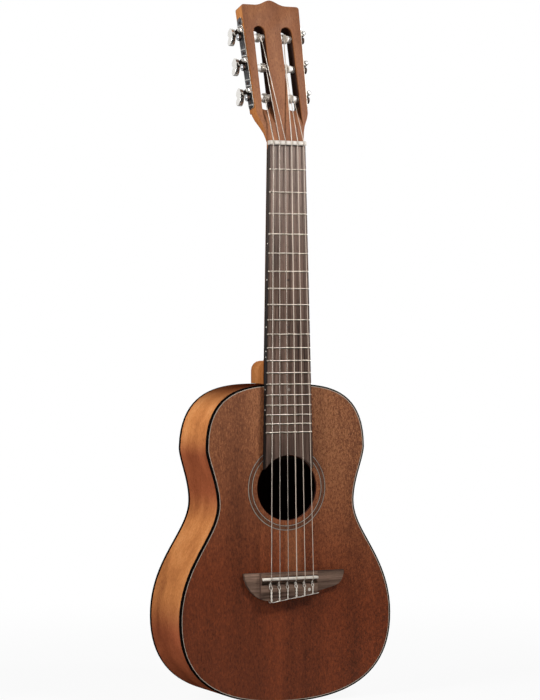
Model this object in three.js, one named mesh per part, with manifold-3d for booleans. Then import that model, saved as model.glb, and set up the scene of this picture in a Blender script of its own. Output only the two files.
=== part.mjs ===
// A guitalele: a six-string travel guitar with a slotted headstock.
// Millimetres, +Z up along the neck. The origin is the middle of the nut's front edge, on the
// fretboard's playing surface. The front faces -Y and the bass side is -X.
import * as THREE from "three";
import { mergeVertices } from "three/addons/utils/BufferGeometryUtils.js";
import Module from "manifold-3d";

const wasm = await Module();
wasm.setup();

// Driving dimensions: clearances and overrun
const seatGap = 0.3; // between pieces that are glued or seated together
const runGap = 0.3; // round everything that turns
const overrun = 1; // how far a cutting tool runs past the surface it cuts

// Scale and fretboard
const scaleLength = 433;
const fretCount = 19;
const joinFret = 14; // the fret that lies over the top of the body
const boardThick = 5.9;
const boardHalfAtNut = 19.7;
const boardHalfAtOctave = 24.3;
const fretCrownWidth = 2.2;
const fretCrownHeight = 1.0;
const fretInset = 0.25; // from the fret's end to the fretboard's edge
const tangWidth = 0.6;
const tangDepth = 1.8;

// Nut and saddle
const nutLength = 4.2;
const nutRise = 2.4; // above the playing surface
const nutCrownShare = 0.35; // of the rise: rounded off towards the head
const notchFloor = 1.4; // height of the notches above the playing surface
const saddleThick = 2.6;
const saddleBassEnd = 31.5; // out from the middle
const saddleTrebleEnd = 29.2;
const saddleRise = 11.9; // above the soundboard
const saddleSlotFloor = 2.6;
const saddleCrown = 0.8; // height of the rounded top edge
const saddleSetback = 2.2; // compensation: the saddle sits this far past the scale length

// Strings: first (treble) to sixth (bass)
const stringDiameters = [0.71, 0.81, 1.0, 0.74, 0.86, 1.06];
const nutSpread = 33.4; // first to sixth at the nut
const saddleSpread = 46.6; // first to sixth at the saddle
const stringSides = 6;
const windingTurns = 3;
const windingSteps = 12; // to each turn
const windingSelfGap = 0.46; // clear space between neighbouring turns
const windingInsets = [8.4, 2.5, 3.1]; // from the slot's inner wall, lowest roller first

// Body
const bodyLength = 320.5;
const upperHalf = 87.5;
const upperDrop = 63.7; // all drops are measured down from the top of the body
const waistHalf = 75.3;
const waistDrop = 119.5;
const lowerHalf = 117;
const lowerDrop = 235.6;
const topHandle = 35; // handles of the outline's curves, from the neck round to the tail
const shoulderHandle = 64.8;
const upperHandle = 12.2;
const aboveWaistHandle = 21.5;
const belowWaistHandle = 32.1;
const lowerHandle = 57.6;
const hipHandle = 58.4;
const tailHandle = 76.2;
const curveSteps = 9; // on each of the four curves of a half outline
const depthAtNeck = 66;
const depthAtTail = 78.3;
const backArch = 7.5; // how far the back bows out between neck and tail
const plateThick = 2.8; // soundboard and back
const sideThick = 2.2;
const bindingWidth = 1.5;
const liningDepth = 9;
const liningWidth = 5;

// Soundhole and rosette
const holeRadius = 32.3;
const holeDrop = 104.6;
const holeSteps = 40;
const rosetteInner = 37.8;
const rosetteOuter = 43.1;
const rosetteDepth = 0.8;
const rosetteRecess = 0.05;

// Blocks and braces
const neckBlockHalf = 32;
const neckBlockLength = 24;
const tailBlockHalf = 30;
const tailBlockLength = 16;
const braceWidth = 8;
const braceHeight = 13;
const braceEndHeight = 3;
const braceScoop = 26; // length of the thinned ends
const upperBraceDrop = 52;
const lowerBraceDrop = 152;
const backBraceDrops = [75, 205];
const braceWallGap = 3; // the braces stop short of the linings
const bridgePlateHalf = 62;
const bridgePlateLength = 30;
const bridgePlateRise = 10; // its top edge above the saddle line
const bridgePlateThick = 2.4;

// Bridge: positions run from the saddle line, up the body positive
const bridgeTop = 6; // top edge above the saddle line
const bridgeBassReach = 49.5;
const bridgeTrebleReach = 61.5;
const bridgeBassDrop = 22.6; // lowest point of the bass end below the saddle line
const bridgeBassFoot = 20; // how far out the lowest point lies
const bridgeBlockBass = 32.8; // out from the middle: the tie block's ends
const bridgeBlockTreble = 29.8;
const bridgeTrebleFoot = 53;
const bridgeTrebleDrop = 9.4;
const bridgeTrebleShoulder = 15.4; // drop of the lower edge where the treble wing begins
const wingThick = 4;
const tieBlockThick = 8.6;
const channelFloor = 4.4;
const channelTop = 2.4; // below the saddle line
const channelBottom = 6; // below the saddle line
const tieHoleHeight = 6.1; // above the soundboard
const tieHoleRadius = 1.05;
const tieHoleSides = 8;

// Neck, heel and headstock. In the headstock x is across, y is depth and z runs up its face.
const neckDepthAtNut = 12.6;
const neckDepthAtHeel = 14.2;
const neckSectionSteps = 12;
const heelHalfAtCap = 9.8;
const heelHalfAtNeck = 20;
const heelLengthAtCap = 23.3;
const heelLengthAtNeck = 52;
const heelCapSetback = 1.2; // the heel stops this far short of the back
const heelLevels = 8;
const heelWidthPower = 1.6; // how soon the heel's width and length fall off towards its cap
const heelLengthPower = 3;
const headTilt = THREE.MathUtils.degToRad(14.3);
const headThick = 15;
const headFaceDrop = 5.3; // from the playing surface to the head's face behind the nut
const headRootHalf = 20.2;
const earHeight = 33; // where the ears reach their full width
const earHalf = 28.9;
const headTopHalf = 32.3;
const headShoulder = 145.6;
const headPeak = 151.2;
const crownHalf = 17;
const crownShares = [0.6, 0.3]; // of its half width: the handles of the top's curve
const headCornerRadius = 3;
const slotCentre = 15.2;
const slotWidth = 13;
const slotLow = 34;
const slotHigh = 123;
const slotEndSteps = 6;
const rampStart = 17; // where the string ramps leave the head's face
const rampDepth = 5; // how deep they are where they enter the slots

// Tuning machines
const rollerPitch = 32.4;
const lowestRoller = 47.2;
const rollerRadius = 3.7;
const rollerSides = 14;
const rollerTipReach = 4.4; // how far the rollers enter the head's middle bar
const rollerNeckRadius = 2.2;
const machinePlateThick = 1;
const machinePlateWidth = 11.8;
const machinePlateOverhang = 11.5; // plate beyond the outer rollers' centres
const plateFootShare = 0.55; // of the plate's half width: flat part of its lower end
const plateLobeShares = [0.62, 0.92, 0.5]; // of the same: waist, lobe and the lobe's flat top
const plateWaistRun = 3; // from the waist's middle to its ends
const plateLobeRise = 9.2; // from the waist's middle to the top
const gearTeeth = 14;
const gearPitchRadius = 4.3;
const toothAddendum = 0.55;
const toothDedendum = 0.75;
const gearWidth = 2.6;
const gearToothShares = [0.52, 0.3]; // of the pitch: at the root and the tip
const threadShares = [0.52, 0.2]; // of the pitch: at the root and the tip
const threadSinkShare = 0.8; // of the core's radius: where the thread's foot lies inside it
const wormPitchRadius = 2.1;
const threadTurns = 3;
const threadSteps = 8; // to each turn
const wormCoreSides = 8;
const shaftRadius = 1.25;
const shaftSides = 10;
const lugThick = 1.2;
const lugHalf = 2.4;
const lugSides = 12;
const screwHeadRadius = 2.3;
const screwHeadThick = 0.9;
const collarRadius = 2.2;
const collarLength = 3.8;
const buttonHalf = 9.4;
const buttonLength = 12.4;
const buttonThick = 4.4;
const buttonBevel = 1.1;
const buttonNeckHalf = 2.5;
const buttonDip = 2.6; // hollow between the button's two wings
const buttonTurn = THREE.MathUtils.degToRad(8); // how far the buttons lean out at rest
const buttonWidthShares = [0.5, 0.75, 0.8, 1.05]; // of the half width: top, foot, shoulder, bulge
const buttonHeightShares = [0.3, 0.45, 0.75]; // of the length: foot, widest place, shoulder

// Derived sizes
const soundboardFront = boardThick; // the board lies flat on the soundboard
const soundboardBack = soundboardFront + plateThick;
const fretPlace = (n) => -scaleLength * (1 - 2 ** (-n / 12));
const bodyTop = fretPlace(joinFret);
const bodyBottom = bodyTop - bodyLength;
const holeCentre = bodyTop - holeDrop;
const saddleLine = -scaleLength - saddleSetback;
const boardEnd = holeCentre;
const boardHalf = (z) => {
  const taper = (boardHalfAtOctave - boardHalfAtNut) / -fretPlace(12);
  return boardHalfAtNut - z * taper;
};
const nutBack = nutLength + seatGap;
const headStart = nutBack + seatGap + (boardThick - headFaceDrop) * Math.tan(headTilt);
const headTaper = Math.atan((headTopHalf - earHalf) / (headShoulder - earHeight));
const headHalf = (s) => earHalf + (s - earHeight) * Math.tan(headTaper);
const toothPitch = (2 * Math.PI * gearPitchRadius) / gearTeeth;
const wormOffset = gearPitchRadius + wormPitchRadius; // worm axis above the roller's centre
const threadTip = wormPitchRadius + toothAddendum;
const threadRoot = wormPitchRadius - toothDedendum;
const plateOuter = seatGap + machinePlateThick;
const wormOut = plateOuter + runGap + threadTip; // worm axis out from the head's side
const rollerDepth = headThick / 2;
const middleRoller = lowestRoller + rollerPitch;
const threadHalf = (threadTurns * toothPitch) / 2 + toothPitch / 2;
const lugInner = threadHalf + runGap; // from the worm's middle to a lug

// The back's outer surface: flat across, bowed along the body.
function backSurface(z) {
  const share = THREE.MathUtils.clamp((bodyTop - z) / bodyLength, 0, 1);
  const straight = depthAtNeck + (depthAtTail - depthAtNeck) * share;
  return soundboardFront + straight + 4 * backArch * share * (1 - share);
}

// Solids and meshes
function outward(geometry) {
  const place = geometry.getAttribute("position");
  const index = geometry.getIndex();
  const [a, b, c] = [new THREE.Vector3(), new THREE.Vector3(), new THREE.Vector3()];
  let volume = 0;
  for (let i = 0; i < index.count; i += 3) {
    a.fromBufferAttribute(place, index.getX(i));
    b.fromBufferAttribute(place, index.getX(i + 1));
    c.fromBufferAttribute(place, index.getX(i + 2));
    volume += a.dot(b.cross(c));
  }
  if (volume < 0) {
    for (let i = 0; i < index.count; i += 3) {
      const first = index.getX(i);
      index.setX(i, index.getX(i + 1));
      index.setX(i + 1, first);
    }
  }
  return geometry;
}

function welded(geometry) {
  const plain = geometry.clone();
  plain.deleteAttribute("normal");
  plain.deleteAttribute("uv");
  return outward(mergeVertices(plain));
}

function solid(geometry) {
  const merged = welded(geometry);
  return new wasm.Manifold(
    new wasm.Mesh({
      numProp: 3,
      vertProperties: new Float32Array(merged.getAttribute("position").array),
      triVerts: new Uint32Array(merged.getIndex().array),
    }),
  );
}

function meshGeometry(manifold) {
  const { vertProperties, triVerts } = manifold.getMesh();
  const geometry = new THREE.BufferGeometry();
  geometry.setAttribute("position", new THREE.BufferAttribute(vertProperties, 3));
  geometry.setIndex(new THREE.BufferAttribute(triVerts, 1));
  return geometry;
}

const joined = (parts) => parts.map(solid).reduce((whole, part) => whole.add(part));
const cut = (whole, tools) => tools.map(solid).reduce((rest, tool) => rest.subtract(tool), whole);

// A prism from an outline in x and z, between two depths in y.
function prism(outline, yFront, yBack) {
  const shape = new THREE.Shape(outline.map(([x, z]) => new THREE.Vector2(x, z)));
  const geometry = new THREE.ExtrudeGeometry(shape, { depth: yBack - yFront, bevelEnabled: false });
  return geometry.rotateX(Math.PI / 2).translate(0, yBack, 0);
}

// A beam from an outline in y and z, between two places in x.
function beam(outline, xLow, xHigh) {
  const shape = new THREE.Shape(outline.map(([y, z]) => new THREE.Vector2(y, z)));
  const geometry = new THREE.ExtrudeGeometry(shape, { depth: xHigh - xLow, bevelEnabled: false });
  return geometry.rotateX(Math.PI / 2).rotateZ(Math.PI / 2).translate(xLow, 0, 0);
}

function block(xLow, xHigh, yLow, yHigh, zLow, zHigh) {
  const geometry = new THREE.BoxGeometry(xHigh - xLow, yHigh - yLow, zHigh - zLow);
  return geometry.translate((xLow + xHigh) / 2, (yLow + yHigh) / 2, (zLow + zHigh) / 2);
}

// A skin through matching sections, either a closed loop or an open run with star-shaped ends.
function band(sections, closed = false) {
  const corners = sections[0].length;
  const points = sections.flat();
  const triangles = [];
  const runs = closed ? sections.length : sections.length - 1;
  for (let i = 0; i < runs; i += 1) {
    const here = i * corners;
    const next = ((i + 1) % sections.length) * corners;
    for (let k = 0; k < corners; k += 1) {
      const other = (k + 1) % corners;
      triangles.push(here + k, next + k, next + other, here + k, next + other, here + other);
    }
  }
  if (!closed) {
    for (const [section, flip] of [[0, false], [sections.length - 1, true]]) {
      const middle = new THREE.Vector3();
      sections[section].forEach((point) => middle.addScaledVector(point, 1 / corners));
      points.push(middle);
      for (let k = 0; k < corners; k += 1) {
        const one = section * corners + k;
        const two = section * corners + ((k + 1) % corners);
        triangles.push(points.length - 1, flip ? two : one, flip ? one : two);
      }
    }
  }
  const geometry = new THREE.BufferGeometry().setFromPoints(points);
  geometry.setIndex(triangles);
  return outward(geometry);
}

// A round bar turned about x from a profile of [x, radius] pairs that starts and ends on the axis.
function turnedAlongX(profile, sides) {
  const points = profile.map(([x, radius]) => new THREE.Vector2(radius, x));
  return new THREE.LatheGeometry(points, sides).rotateZ(-Math.PI / 2);
}

function barAlongX(xLow, xHigh, radius, sides) {
  return turnedAlongX([[xLow, 0], [xLow, radius], [xHigh, radius], [xHigh, 0]], sides);
}

function barAlongY(yLow, yHigh, radius, sides) {
  const bar = new THREE.CylinderGeometry(radius, radius, yHigh - yLow, sides);
  return bar.translate(0, (yLow + yHigh) / 2, 0);
}

// Body outline: half of it from the neck's middle to the tail's middle, moved in by an inset.
const outlineCurves = (() => {
  const at = (x, drop) => new THREE.Vector2(x, bodyTop - drop);
  const curve = (...points) => new THREE.CubicBezierCurve(...points);
  return [
    curve(at(0, 0), at(topHandle, 0), at(upperHalf, upperDrop - shoulderHandle), at(upperHalf, upperDrop)),
    curve(at(upperHalf, upperDrop), at(upperHalf, upperDrop + upperHandle),
      at(waistHalf, waistDrop - aboveWaistHandle), at(waistHalf, waistDrop)),
    curve(at(waistHalf, waistDrop), at(waistHalf, waistDrop + belowWaistHandle),
      at(lowerHalf, lowerDrop - lowerHandle), at(lowerHalf, lowerDrop)),
    curve(at(lowerHalf, lowerDrop), at(lowerHalf, lowerDrop + hipHandle),
      at(tailHandle, bodyLength), at(0, bodyLength)),
  ];
})();

function halfOutline(inset) {
  const points = [];
  outlineCurves.forEach((curve, i) => {
    for (let k = i === 0 ? 0 : 1; k <= curveSteps; k += 1) {
      const place = curve.getPoint(k / curveSteps);
      const along = curve.getTangent(k / curveSteps);
      points.push([place.x + along.y * inset, place.y - along.x * inset]);
    }
  });
  points[0][0] = 0;
  points[points.length - 1][0] = 0;
  return points;
}

function outline(inset) {
  const treble = halfOutline(inset);
  const bass = treble.slice(1, -1).reverse().map(([x, z]) => [-x, z]);
  return [...treble, ...bass];
}

function circle(x, z, radius, steps) {
  return Array.from({ length: steps }, (_, i) => {
    const angle = (2 * Math.PI * i) / steps;
    return [x + radius * Math.cos(angle), z + radius * Math.sin(angle)];
  });
}

// Body pieces
function makeSoundboard() {
  const plate = solid(prism(outline(bindingWidth + seatGap), soundboardFront, soundboardBack));
  const hole = circle(0, holeCentre, holeRadius, holeSteps);
  const groove = ringAt(rosetteInner - seatGap, rosetteOuter + seatGap,
    soundboardFront - overrun, soundboardFront + rosetteDepth + seatGap);
  return meshGeometry(cut(plate, [
    prism(hole, soundboardFront - overrun, soundboardBack + overrun),
    groove,
  ]));
}

function ringAt(inner, outer, yFront, yBack) {
  const profile = [[inner, yFront], [outer, yFront], [outer, yBack], [inner, yBack], [inner, yFront]];
  const points = profile.map(([radius, y]) => new THREE.Vector2(radius, y));
  return new THREE.LatheGeometry(points, holeSteps).translate(0, 0, holeCentre);
}

function makeRosette() {
  const front = soundboardFront + rosetteRecess;
  return ringAt(rosetteInner, rosetteOuter, front, soundboardFront + rosetteDepth);
}

// A strip round the body's edge: for each outline place, corners given as [inset, depth] pairs.
function edgeStrip(corners) {
  const loops = corners.map(({ inset, y }) => outline(inset).map(([x, z]) => new THREE.Vector3(x, y(z), z)));
  return band(loops[0].map((_, i) => loops.map((loop) => loop[i])), true);
}

const frontBindingBack = () => soundboardBack;
const backInner = (z) => backSurface(z) - plateThick;

function makeFrontBinding() {
  return edgeStrip([
    { inset: 0, y: () => soundboardFront },
    { inset: 0, y: frontBindingBack },
    { inset: bindingWidth, y: frontBindingBack },
    { inset: bindingWidth, y: () => soundboardFront },
  ]);
}

function makeBackBinding() {
  return edgeStrip([
    { inset: 0, y: backInner },
    { inset: 0, y: backSurface },
    { inset: bindingWidth, y: backSurface },
    { inset: bindingWidth, y: backInner },
  ]);
}

function makeSide(sign) {
  const outer = halfOutline(0);
  const inner = halfOutline(sideThick);
  const last = outer.length - 1;
  const section = (i) => {
    const join = i === 0 || i === last ? seatGap / 2 : 0;
    const [outX, outZ] = outer[i];
    const [inX, inZ] = inner[i];
    const front = soundboardBack + seatGap;
    return [
      new THREE.Vector3(sign * (outX + join), front, outZ),
      new THREE.Vector3(sign * (outX + join), backInner(outZ) - seatGap, outZ),
      new THREE.Vector3(sign * (inX + join), backInner(inZ) - seatGap, inZ),
      new THREE.Vector3(sign * (inX + join), front, inZ),
    ];
  };
  return band(outer.map((_, i) => section(i)));
}

// The back plate follows the bow: strips between neighbouring heights of the outline.
function makeBack() {
  const inset = bindingWidth + seatGap;
  const half = halfOutline(inset);
  const sections = half.slice(1, -1).map(([x, z]) => [
    new THREE.Vector3(-x, backInner(z), z),
    new THREE.Vector3(x, backInner(z), z),
    new THREE.Vector3(x, backSurface(z), z),
    new THREE.Vector3(-x, backSurface(z), z),
  ]);
  return band(sections);
}

function liningSection(nearPlate, intoBody) {
  const wall = sideThick + seatGap;
  return [
    { inset: wall, y: nearPlate },
    { inset: wall, y: (z) => nearPlate(z) + intoBody * liningDepth },
    { inset: wall + liningWidth, y: nearPlate },
  ];
}

const frontLiningPlate = () => soundboardBack + seatGap;
const backLiningPlate = (z) => backInner(z) - seatGap;
const makeFrontLining = () => edgeStrip(liningSection(frontLiningPlate, 1));
const makeBackLining = () => edgeStrip(liningSection(backLiningPlate, -1));

// An end block stands between the plates and is notched over the two linings.
function makeEndBlock(halfWidth, length, atNeck) {
  const wall = sideThick + seatGap;
  const inside = solid(prism(outline(wall), soundboardBack + seatGap, backSurface(bodyBottom) + overrun));
  const zEdge = atNeck ? bodyTop : bodyBottom;
  const zInner = atNeck ? bodyTop - wall - length : bodyBottom + wall + length;
  const [zLow, zHigh] = [Math.min(zEdge, zInner), Math.max(zEdge, zInner)];
  const backAt = (z) => backInner(z) - seatGap;
  const body = beam(
    [[soundboardBack + seatGap, zLow], [backAt(zLow), zLow], [backAt(zHigh), zHigh],
      [soundboardBack + seatGap, zHigh]],
    -halfWidth,
    halfWidth,
  );
  const notchWidth = wall + liningWidth + seatGap;
  const notchDepth = liningDepth + 2 * seatGap;
  const edge = (y0, y1) => {
    const outside = solid(prism(outline(-overrun), y0, y1));
    return outside.subtract(solid(prism(outline(notchWidth), y0 - overrun, y1 + overrun)));
  };
  const backLow = Math.min(backAt(zLow), backAt(zHigh)) - notchDepth;
  const backHigh = Math.max(backAt(zLow), backAt(zHigh)) + overrun;
  return meshGeometry(
    solid(body)
      .intersect(inside)
      .subtract(edge(soundboardFront, soundboardBack + notchDepth))
      .subtract(edge(backLow, backHigh)),
  );
}

// Half width of the body's inside at a height, found on the outline.
function insideHalf(z, inset) {
  const half = halfOutline(inset);
  for (let i = 1; i < half.length; i += 1) {
    const [x0, z0] = half[i - 1];
    const [x1, z1] = half[i];
    if (z <= z0 && z >= z1) return x0 + ((x1 - x0) * (z0 - z)) / Math.max(z0 - z1, Number.EPSILON);
  }
  return 0;
}

// A brace runs across the body, thinned at both ends; its foot follows the plate that it stiffens.
function makeBrace(drop, plateAt, intoBody) {
  const centre = bodyTop - drop;
  const zLow = centre - braceWidth / 2;
  const zHigh = centre + braceWidth / 2;
  const inset = sideThick + liningWidth + braceWallGap;
  const half = Math.min(insideHalf(zLow, inset), insideHalf(zHigh, inset));
  const stations = [
    [-half, braceEndHeight],
    [-half + braceScoop, braceHeight],
    [half - braceScoop, braceHeight],
    [half, braceEndHeight],
  ];
  return band(stations.map(([x, height]) => [
    new THREE.Vector3(x, plateAt(zLow), zLow),
    new THREE.Vector3(x, plateAt(zHigh), zHigh),
    new THREE.Vector3(x, plateAt(zHigh) + intoBody * height, zHigh),
    new THREE.Vector3(x, plateAt(zLow) + intoBody * height, zLow),
  ]));
}

function makeBridgePlate() {
  const front = soundboardBack + seatGap;
  const top = saddleLine + bridgePlateRise;
  return block(-bridgePlateHalf, bridgePlateHalf, front, front + bridgePlateThick,
    top - bridgePlateLength, top);
}

// Fretboard, frets and nut
function makeFretboard() {
  const board = solid(prism(
    [[-boardHalf(boardEnd), boardEnd], [boardHalf(boardEnd), boardEnd], [boardHalf(0), 0], [-boardHalf(0), 0]],
    0,
    boardThick,
  ));
  const hole = prism(circle(0, holeCentre, holeRadius, holeSteps), -overrun, boardThick + overrun);
  const slots = [];
  for (let n = 1; n <= fretCount; n += 1) {
    const half = boardHalf(fretPlace(n)) + overrun;
    const slotHalf = tangWidth / 2 + seatGap;
    slots.push(block(-half, half, -overrun, tangDepth + seatGap,
      fretPlace(n) - slotHalf, fretPlace(n) + slotHalf));
  }
  return meshGeometry(cut(board, [hole, ...slots]));
}

function makeFret(n) {
  const half = boardHalf(fretPlace(n)) - fretInset;
  const section = [];
  const crownSteps = 4;
  for (let i = 0; i <= crownSteps; i += 1) {
    const angle = (Math.PI * i) / crownSteps;
    section.push([-fretCrownHeight * Math.sin(angle), (fretCrownWidth / 2) * Math.cos(angle)]);
  }
  section.push([0, -tangWidth / 2], [tangDepth, -tangWidth / 2], [tangDepth, tangWidth / 2], [0, tangWidth / 2]);
  return beam(section.map(([y, z]) => [y, fretPlace(n) + z]), -half, half);
}

// Strings are numbered from the treble side, so the first has the largest x.
const stringX = (k, spread) => spread / 2 - ((k - 1) * spread) / (stringDiameters.length - 1);

function makeNut() {
  const crown = nutRise * nutCrownShare;
  const body = solid(beam(
    [[boardThick, 0], [boardThick, nutLength], [-nutRise + crown, nutLength], [-nutRise, nutLength / 2],
      [-nutRise, 0]].map(([y, z]) => [y, z + seatGap]),
    -boardHalfAtNut,
    boardHalfAtNut,
  ));
  const notches = stringDiameters.map((diameter, i) => {
    const x = stringX(i + 1, nutSpread);
    const half = diameter / 2 + seatGap;
    return block(x - half, x + half, -nutRise - overrun, -notchFloor, -overrun, nutLength + 2 * overrun);
  });
  return meshGeometry(cut(body, notches));
}

// Bridge and saddle
const heightToY = (height) => soundboardFront - height;

function bridgeOutline() {
  const top = saddleLine + bridgeTop;
  const bassLow = saddleLine - bridgeBassDrop;
  const shape = new THREE.Shape();
  shape.moveTo(-bridgeBassReach, top);
  shape.bezierCurveTo(-bridgeBassReach, top - bridgeBassDrop / 2, -bridgeBlockBass - bridgeTop, bassLow,
    -bridgeBassFoot, bassLow);
  shape.lineTo(bridgeBlockTreble, saddleLine - bridgeTrebleShoulder);
  shape.lineTo(bridgeTrebleFoot, saddleLine - bridgeTrebleDrop);
  shape.quadraticCurveTo(bridgeTrebleReach, saddleLine - bridgeTop, bridgeTrebleReach + seatGap, top);
  return shape.getPoints(6).map((point) => [point.x, point.y]);
}

function tieBlockEdge(x) {
  const run = (x + bridgeBassFoot) / (bridgeBlockTreble + bridgeBassFoot);
  const edge = bridgeBassDrop + (bridgeTrebleShoulder - bridgeBassDrop) * Math.max(run, 0);
  return saddleLine - edge;
}

function makeBridge() {
  const shape = bridgeOutline();
  const wings = solid(prism(shape, heightToY(wingThick), soundboardFront));
  const middle = solid(prism(shape, heightToY(tieBlockThick), soundboardFront)).intersect(
    solid(block(-bridgeBlockBass, bridgeBlockTreble, heightToY(tieBlockThick) - overrun,
      soundboardFront + overrun, saddleLine - bridgeBassDrop - overrun, saddleLine + bridgeTop + overrun)),
  );
  const [channelBass, channelTreble] = [-saddleBassEnd - seatGap, saddleTrebleEnd + seatGap];
  const tools = [
    block(channelBass, channelTreble, heightToY(tieBlockThick) - overrun, heightToY(channelFloor),
      saddleLine - channelBottom, saddleLine - channelTop),
    block(channelBass, channelTreble, heightToY(tieBlockThick) - overrun, heightToY(saddleSlotFloor),
      saddleLine - saddleThick / 2 - seatGap, saddleLine + saddleThick / 2 + seatGap),
  ];
  stringDiameters.forEach((_, i) => {
    const hole = new THREE.CylinderGeometry(tieHoleRadius, tieHoleRadius,
      bridgeBassDrop + overrun - channelTop, tieHoleSides);
    hole.rotateX(Math.PI / 2);
    hole.translate(stringX(i + 1, saddleSpread), heightToY(tieHoleHeight),
      saddleLine - (channelTop + bridgeBassDrop + overrun) / 2);
    tools.push(hole);
  });
  return meshGeometry(cut(wings.add(middle), tools));
}

function makeSaddle() {
  const half = saddleThick / 2;
  const foot = heightToY(saddleSlotFloor + seatGap);
  const shoulder = heightToY(saddleRise - saddleCrown);
  const top = heightToY(saddleRise);
  const section = [[foot, -half], [foot, half], [shoulder, half], [top, half / 2], [top, -half / 2],
    [shoulder, -half]];
  return beam(section.map(([y, z]) => [y, saddleLine + z]), -saddleBassEnd, saddleTrebleEnd);
}

// Headstock frame, and a frame for each row of machines on the head's tapered sides.
const headFrame = new THREE.Matrix4()
  .makeTranslation(0, headFaceDrop, headStart)
  .multiply(new THREE.Matrix4().makeRotationX(-headTilt));
const machineFrame = (sign) => new THREE.Matrix4()
  .makeTranslation(sign * headHalf(middleRoller), rollerDepth, middleRoller)
  .multiply(new THREE.Matrix4().makeRotationY(sign * headTaper));

// Neck, with its heel and slotted head, is one carved piece.
function neckSection(z, half, depth) {
  return Array.from({ length: neckSectionSteps + 1 }, (_, i) => {
    const angle = (Math.PI * i) / neckSectionSteps;
    return new THREE.Vector3(half * Math.cos(angle), boardThick + depth * Math.sin(angle), z);
  });
}

function makeShaft() {
  const top = nutBack + seatGap;
  const low = bodyTop - overrun;
  return band([
    neckSection(top, boardHalf(0), neckDepthAtNut),
    neckSection(low, boardHalf(bodyTop), neckDepthAtHeel),
  ]);
}

function makeHeel() {
  const yStart = boardThick + neckDepthAtHeel / 2;
  const yEnd = backSurface(bodyTop) - heelCapSetback;
  const low = bodyTop - overrun;
  const roundSteps = 8;
  const sections = Array.from({ length: heelLevels + 1 }, (_, level) => {
    const share = level / heelLevels;
    const half = heelHalfAtCap + (heelHalfAtNeck - heelHalfAtCap) * (1 - share) ** heelWidthPower;
    const length = heelLengthAtCap + (heelLengthAtNeck - heelLengthAtCap) * (1 - share) ** heelLengthPower;
    const y = yStart + (yEnd - yStart) * share;
    const straight = bodyTop + length - half;
    const points = [new THREE.Vector3(-half, y, low)];
    points.push(new THREE.Vector3(half, y, low));
    for (let i = 0; i <= roundSteps; i += 1) {
      const angle = (Math.PI * i) / roundSteps;
      points.push(new THREE.Vector3(half * Math.cos(angle), y, straight + half * Math.sin(angle)));
    }
    return points;
  });
  return band(sections);
}

// The head's root swells from the neck's round section to the flat-sided head.
function makeHeadRoot() {
  const levelShares = [0, 0.15, 0.3, 0.5, 0.75, 0.9, 1];
  const widthShares = [0, 0.1, 0.18, 0.38, 0.8, 0.97, 1];
  const roundness = [1, 0.92, 0.78, 0.5, 0.28, 0.2, 0.17];
  const bulge = (value, power) => (
    Math.abs(value) < Number.EPSILON ? 0 : Math.sign(value) * Math.abs(value) ** power);
  return band(levelShares.map((level, row) => {
    const half = headRootHalf + (earHalf - headRootHalf) * widthShares[row];
    return Array.from({ length: neckSectionSteps + 1 }, (_, i) => {
      const angle = (Math.PI * i) / neckSectionSteps;
      const across = half * bulge(Math.cos(angle), roundness[row]);
      const depth = headThick * bulge(Math.sin(angle), roundness[row]);
      return new THREE.Vector3(across, depth, earHeight * level);
    });
  }));
}

function headSlabOutline() {
  const shape = new THREE.Shape();
  const corner = headCornerRadius;
  const [low, high] = crownShares.map((share) => share * crownHalf);
  shape.moveTo(earHalf - seatGap, earHeight - overrun);
  shape.lineTo(earHalf, earHeight);
  shape.lineTo(headTopHalf, headShoulder - corner);
  shape.quadraticCurveTo(headTopHalf, headShoulder, headTopHalf - corner, headShoulder);
  shape.lineTo(crownHalf, headShoulder);
  shape.bezierCurveTo(low, headShoulder, high, headPeak, 0, headPeak);
  shape.bezierCurveTo(-high, headPeak, -low, headShoulder, -crownHalf, headShoulder);
  shape.lineTo(-headTopHalf + corner, headShoulder);
  shape.quadraticCurveTo(-headTopHalf, headShoulder, -headTopHalf, headShoulder - corner);
  shape.lineTo(-earHalf, earHeight);
  shape.lineTo(-earHalf + seatGap, earHeight - overrun);
  shape.closePath();
  return shape.getPoints(6).slice(0, -1).map((point) => [point.x, point.y]);
}

function slotOutline(sign) {
  const radius = slotWidth / 2;
  const points = [];
  for (const [centre, start] of [[slotHigh - radius, 0], [slotLow + radius, Math.PI]]) {
    for (let i = 0; i <= slotEndSteps; i += 1) {
      const angle = start + (Math.PI * i) / slotEndSteps;
      points.push([sign * slotCentre + radius * Math.cos(angle), centre + radius * Math.sin(angle)]);
    }
  }
  return points;
}

function rampTool(sign) {
  const half = slotWidth / 2;
  const end = slotLow + half;
  const slope = rampDepth / (slotLow - rampStart);
  const before = overrun / slope;
  return beam(
    [[-overrun, rampStart - before], [slope * (end - rampStart), end], [-overrun, end]],
    sign * slotCentre - half,
    sign * slotCentre + half,
  );
}

const rollerPlaces = [0, 1, 2].map((row) => (row - 1) * rollerPitch); // from the middle roller
const rollerTip = (sign) => {
  const innerWall = slotCentre - slotWidth / 2;
  return -(headHalf(middleRoller) - innerWall + rollerTipReach);
};

function rollerBores(sign) {
  return rollerPlaces.map((place) => {
    const bore = barAlongX(rollerTip(sign) - runGap, overrun + headCornerRadius, rollerRadius + runGap,
      rollerSides);
    if (sign < 0) bore.rotateZ(Math.PI);
    return bore.translate(0, 0, place).applyMatrix4(machineFrame(sign));
  });
}

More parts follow.
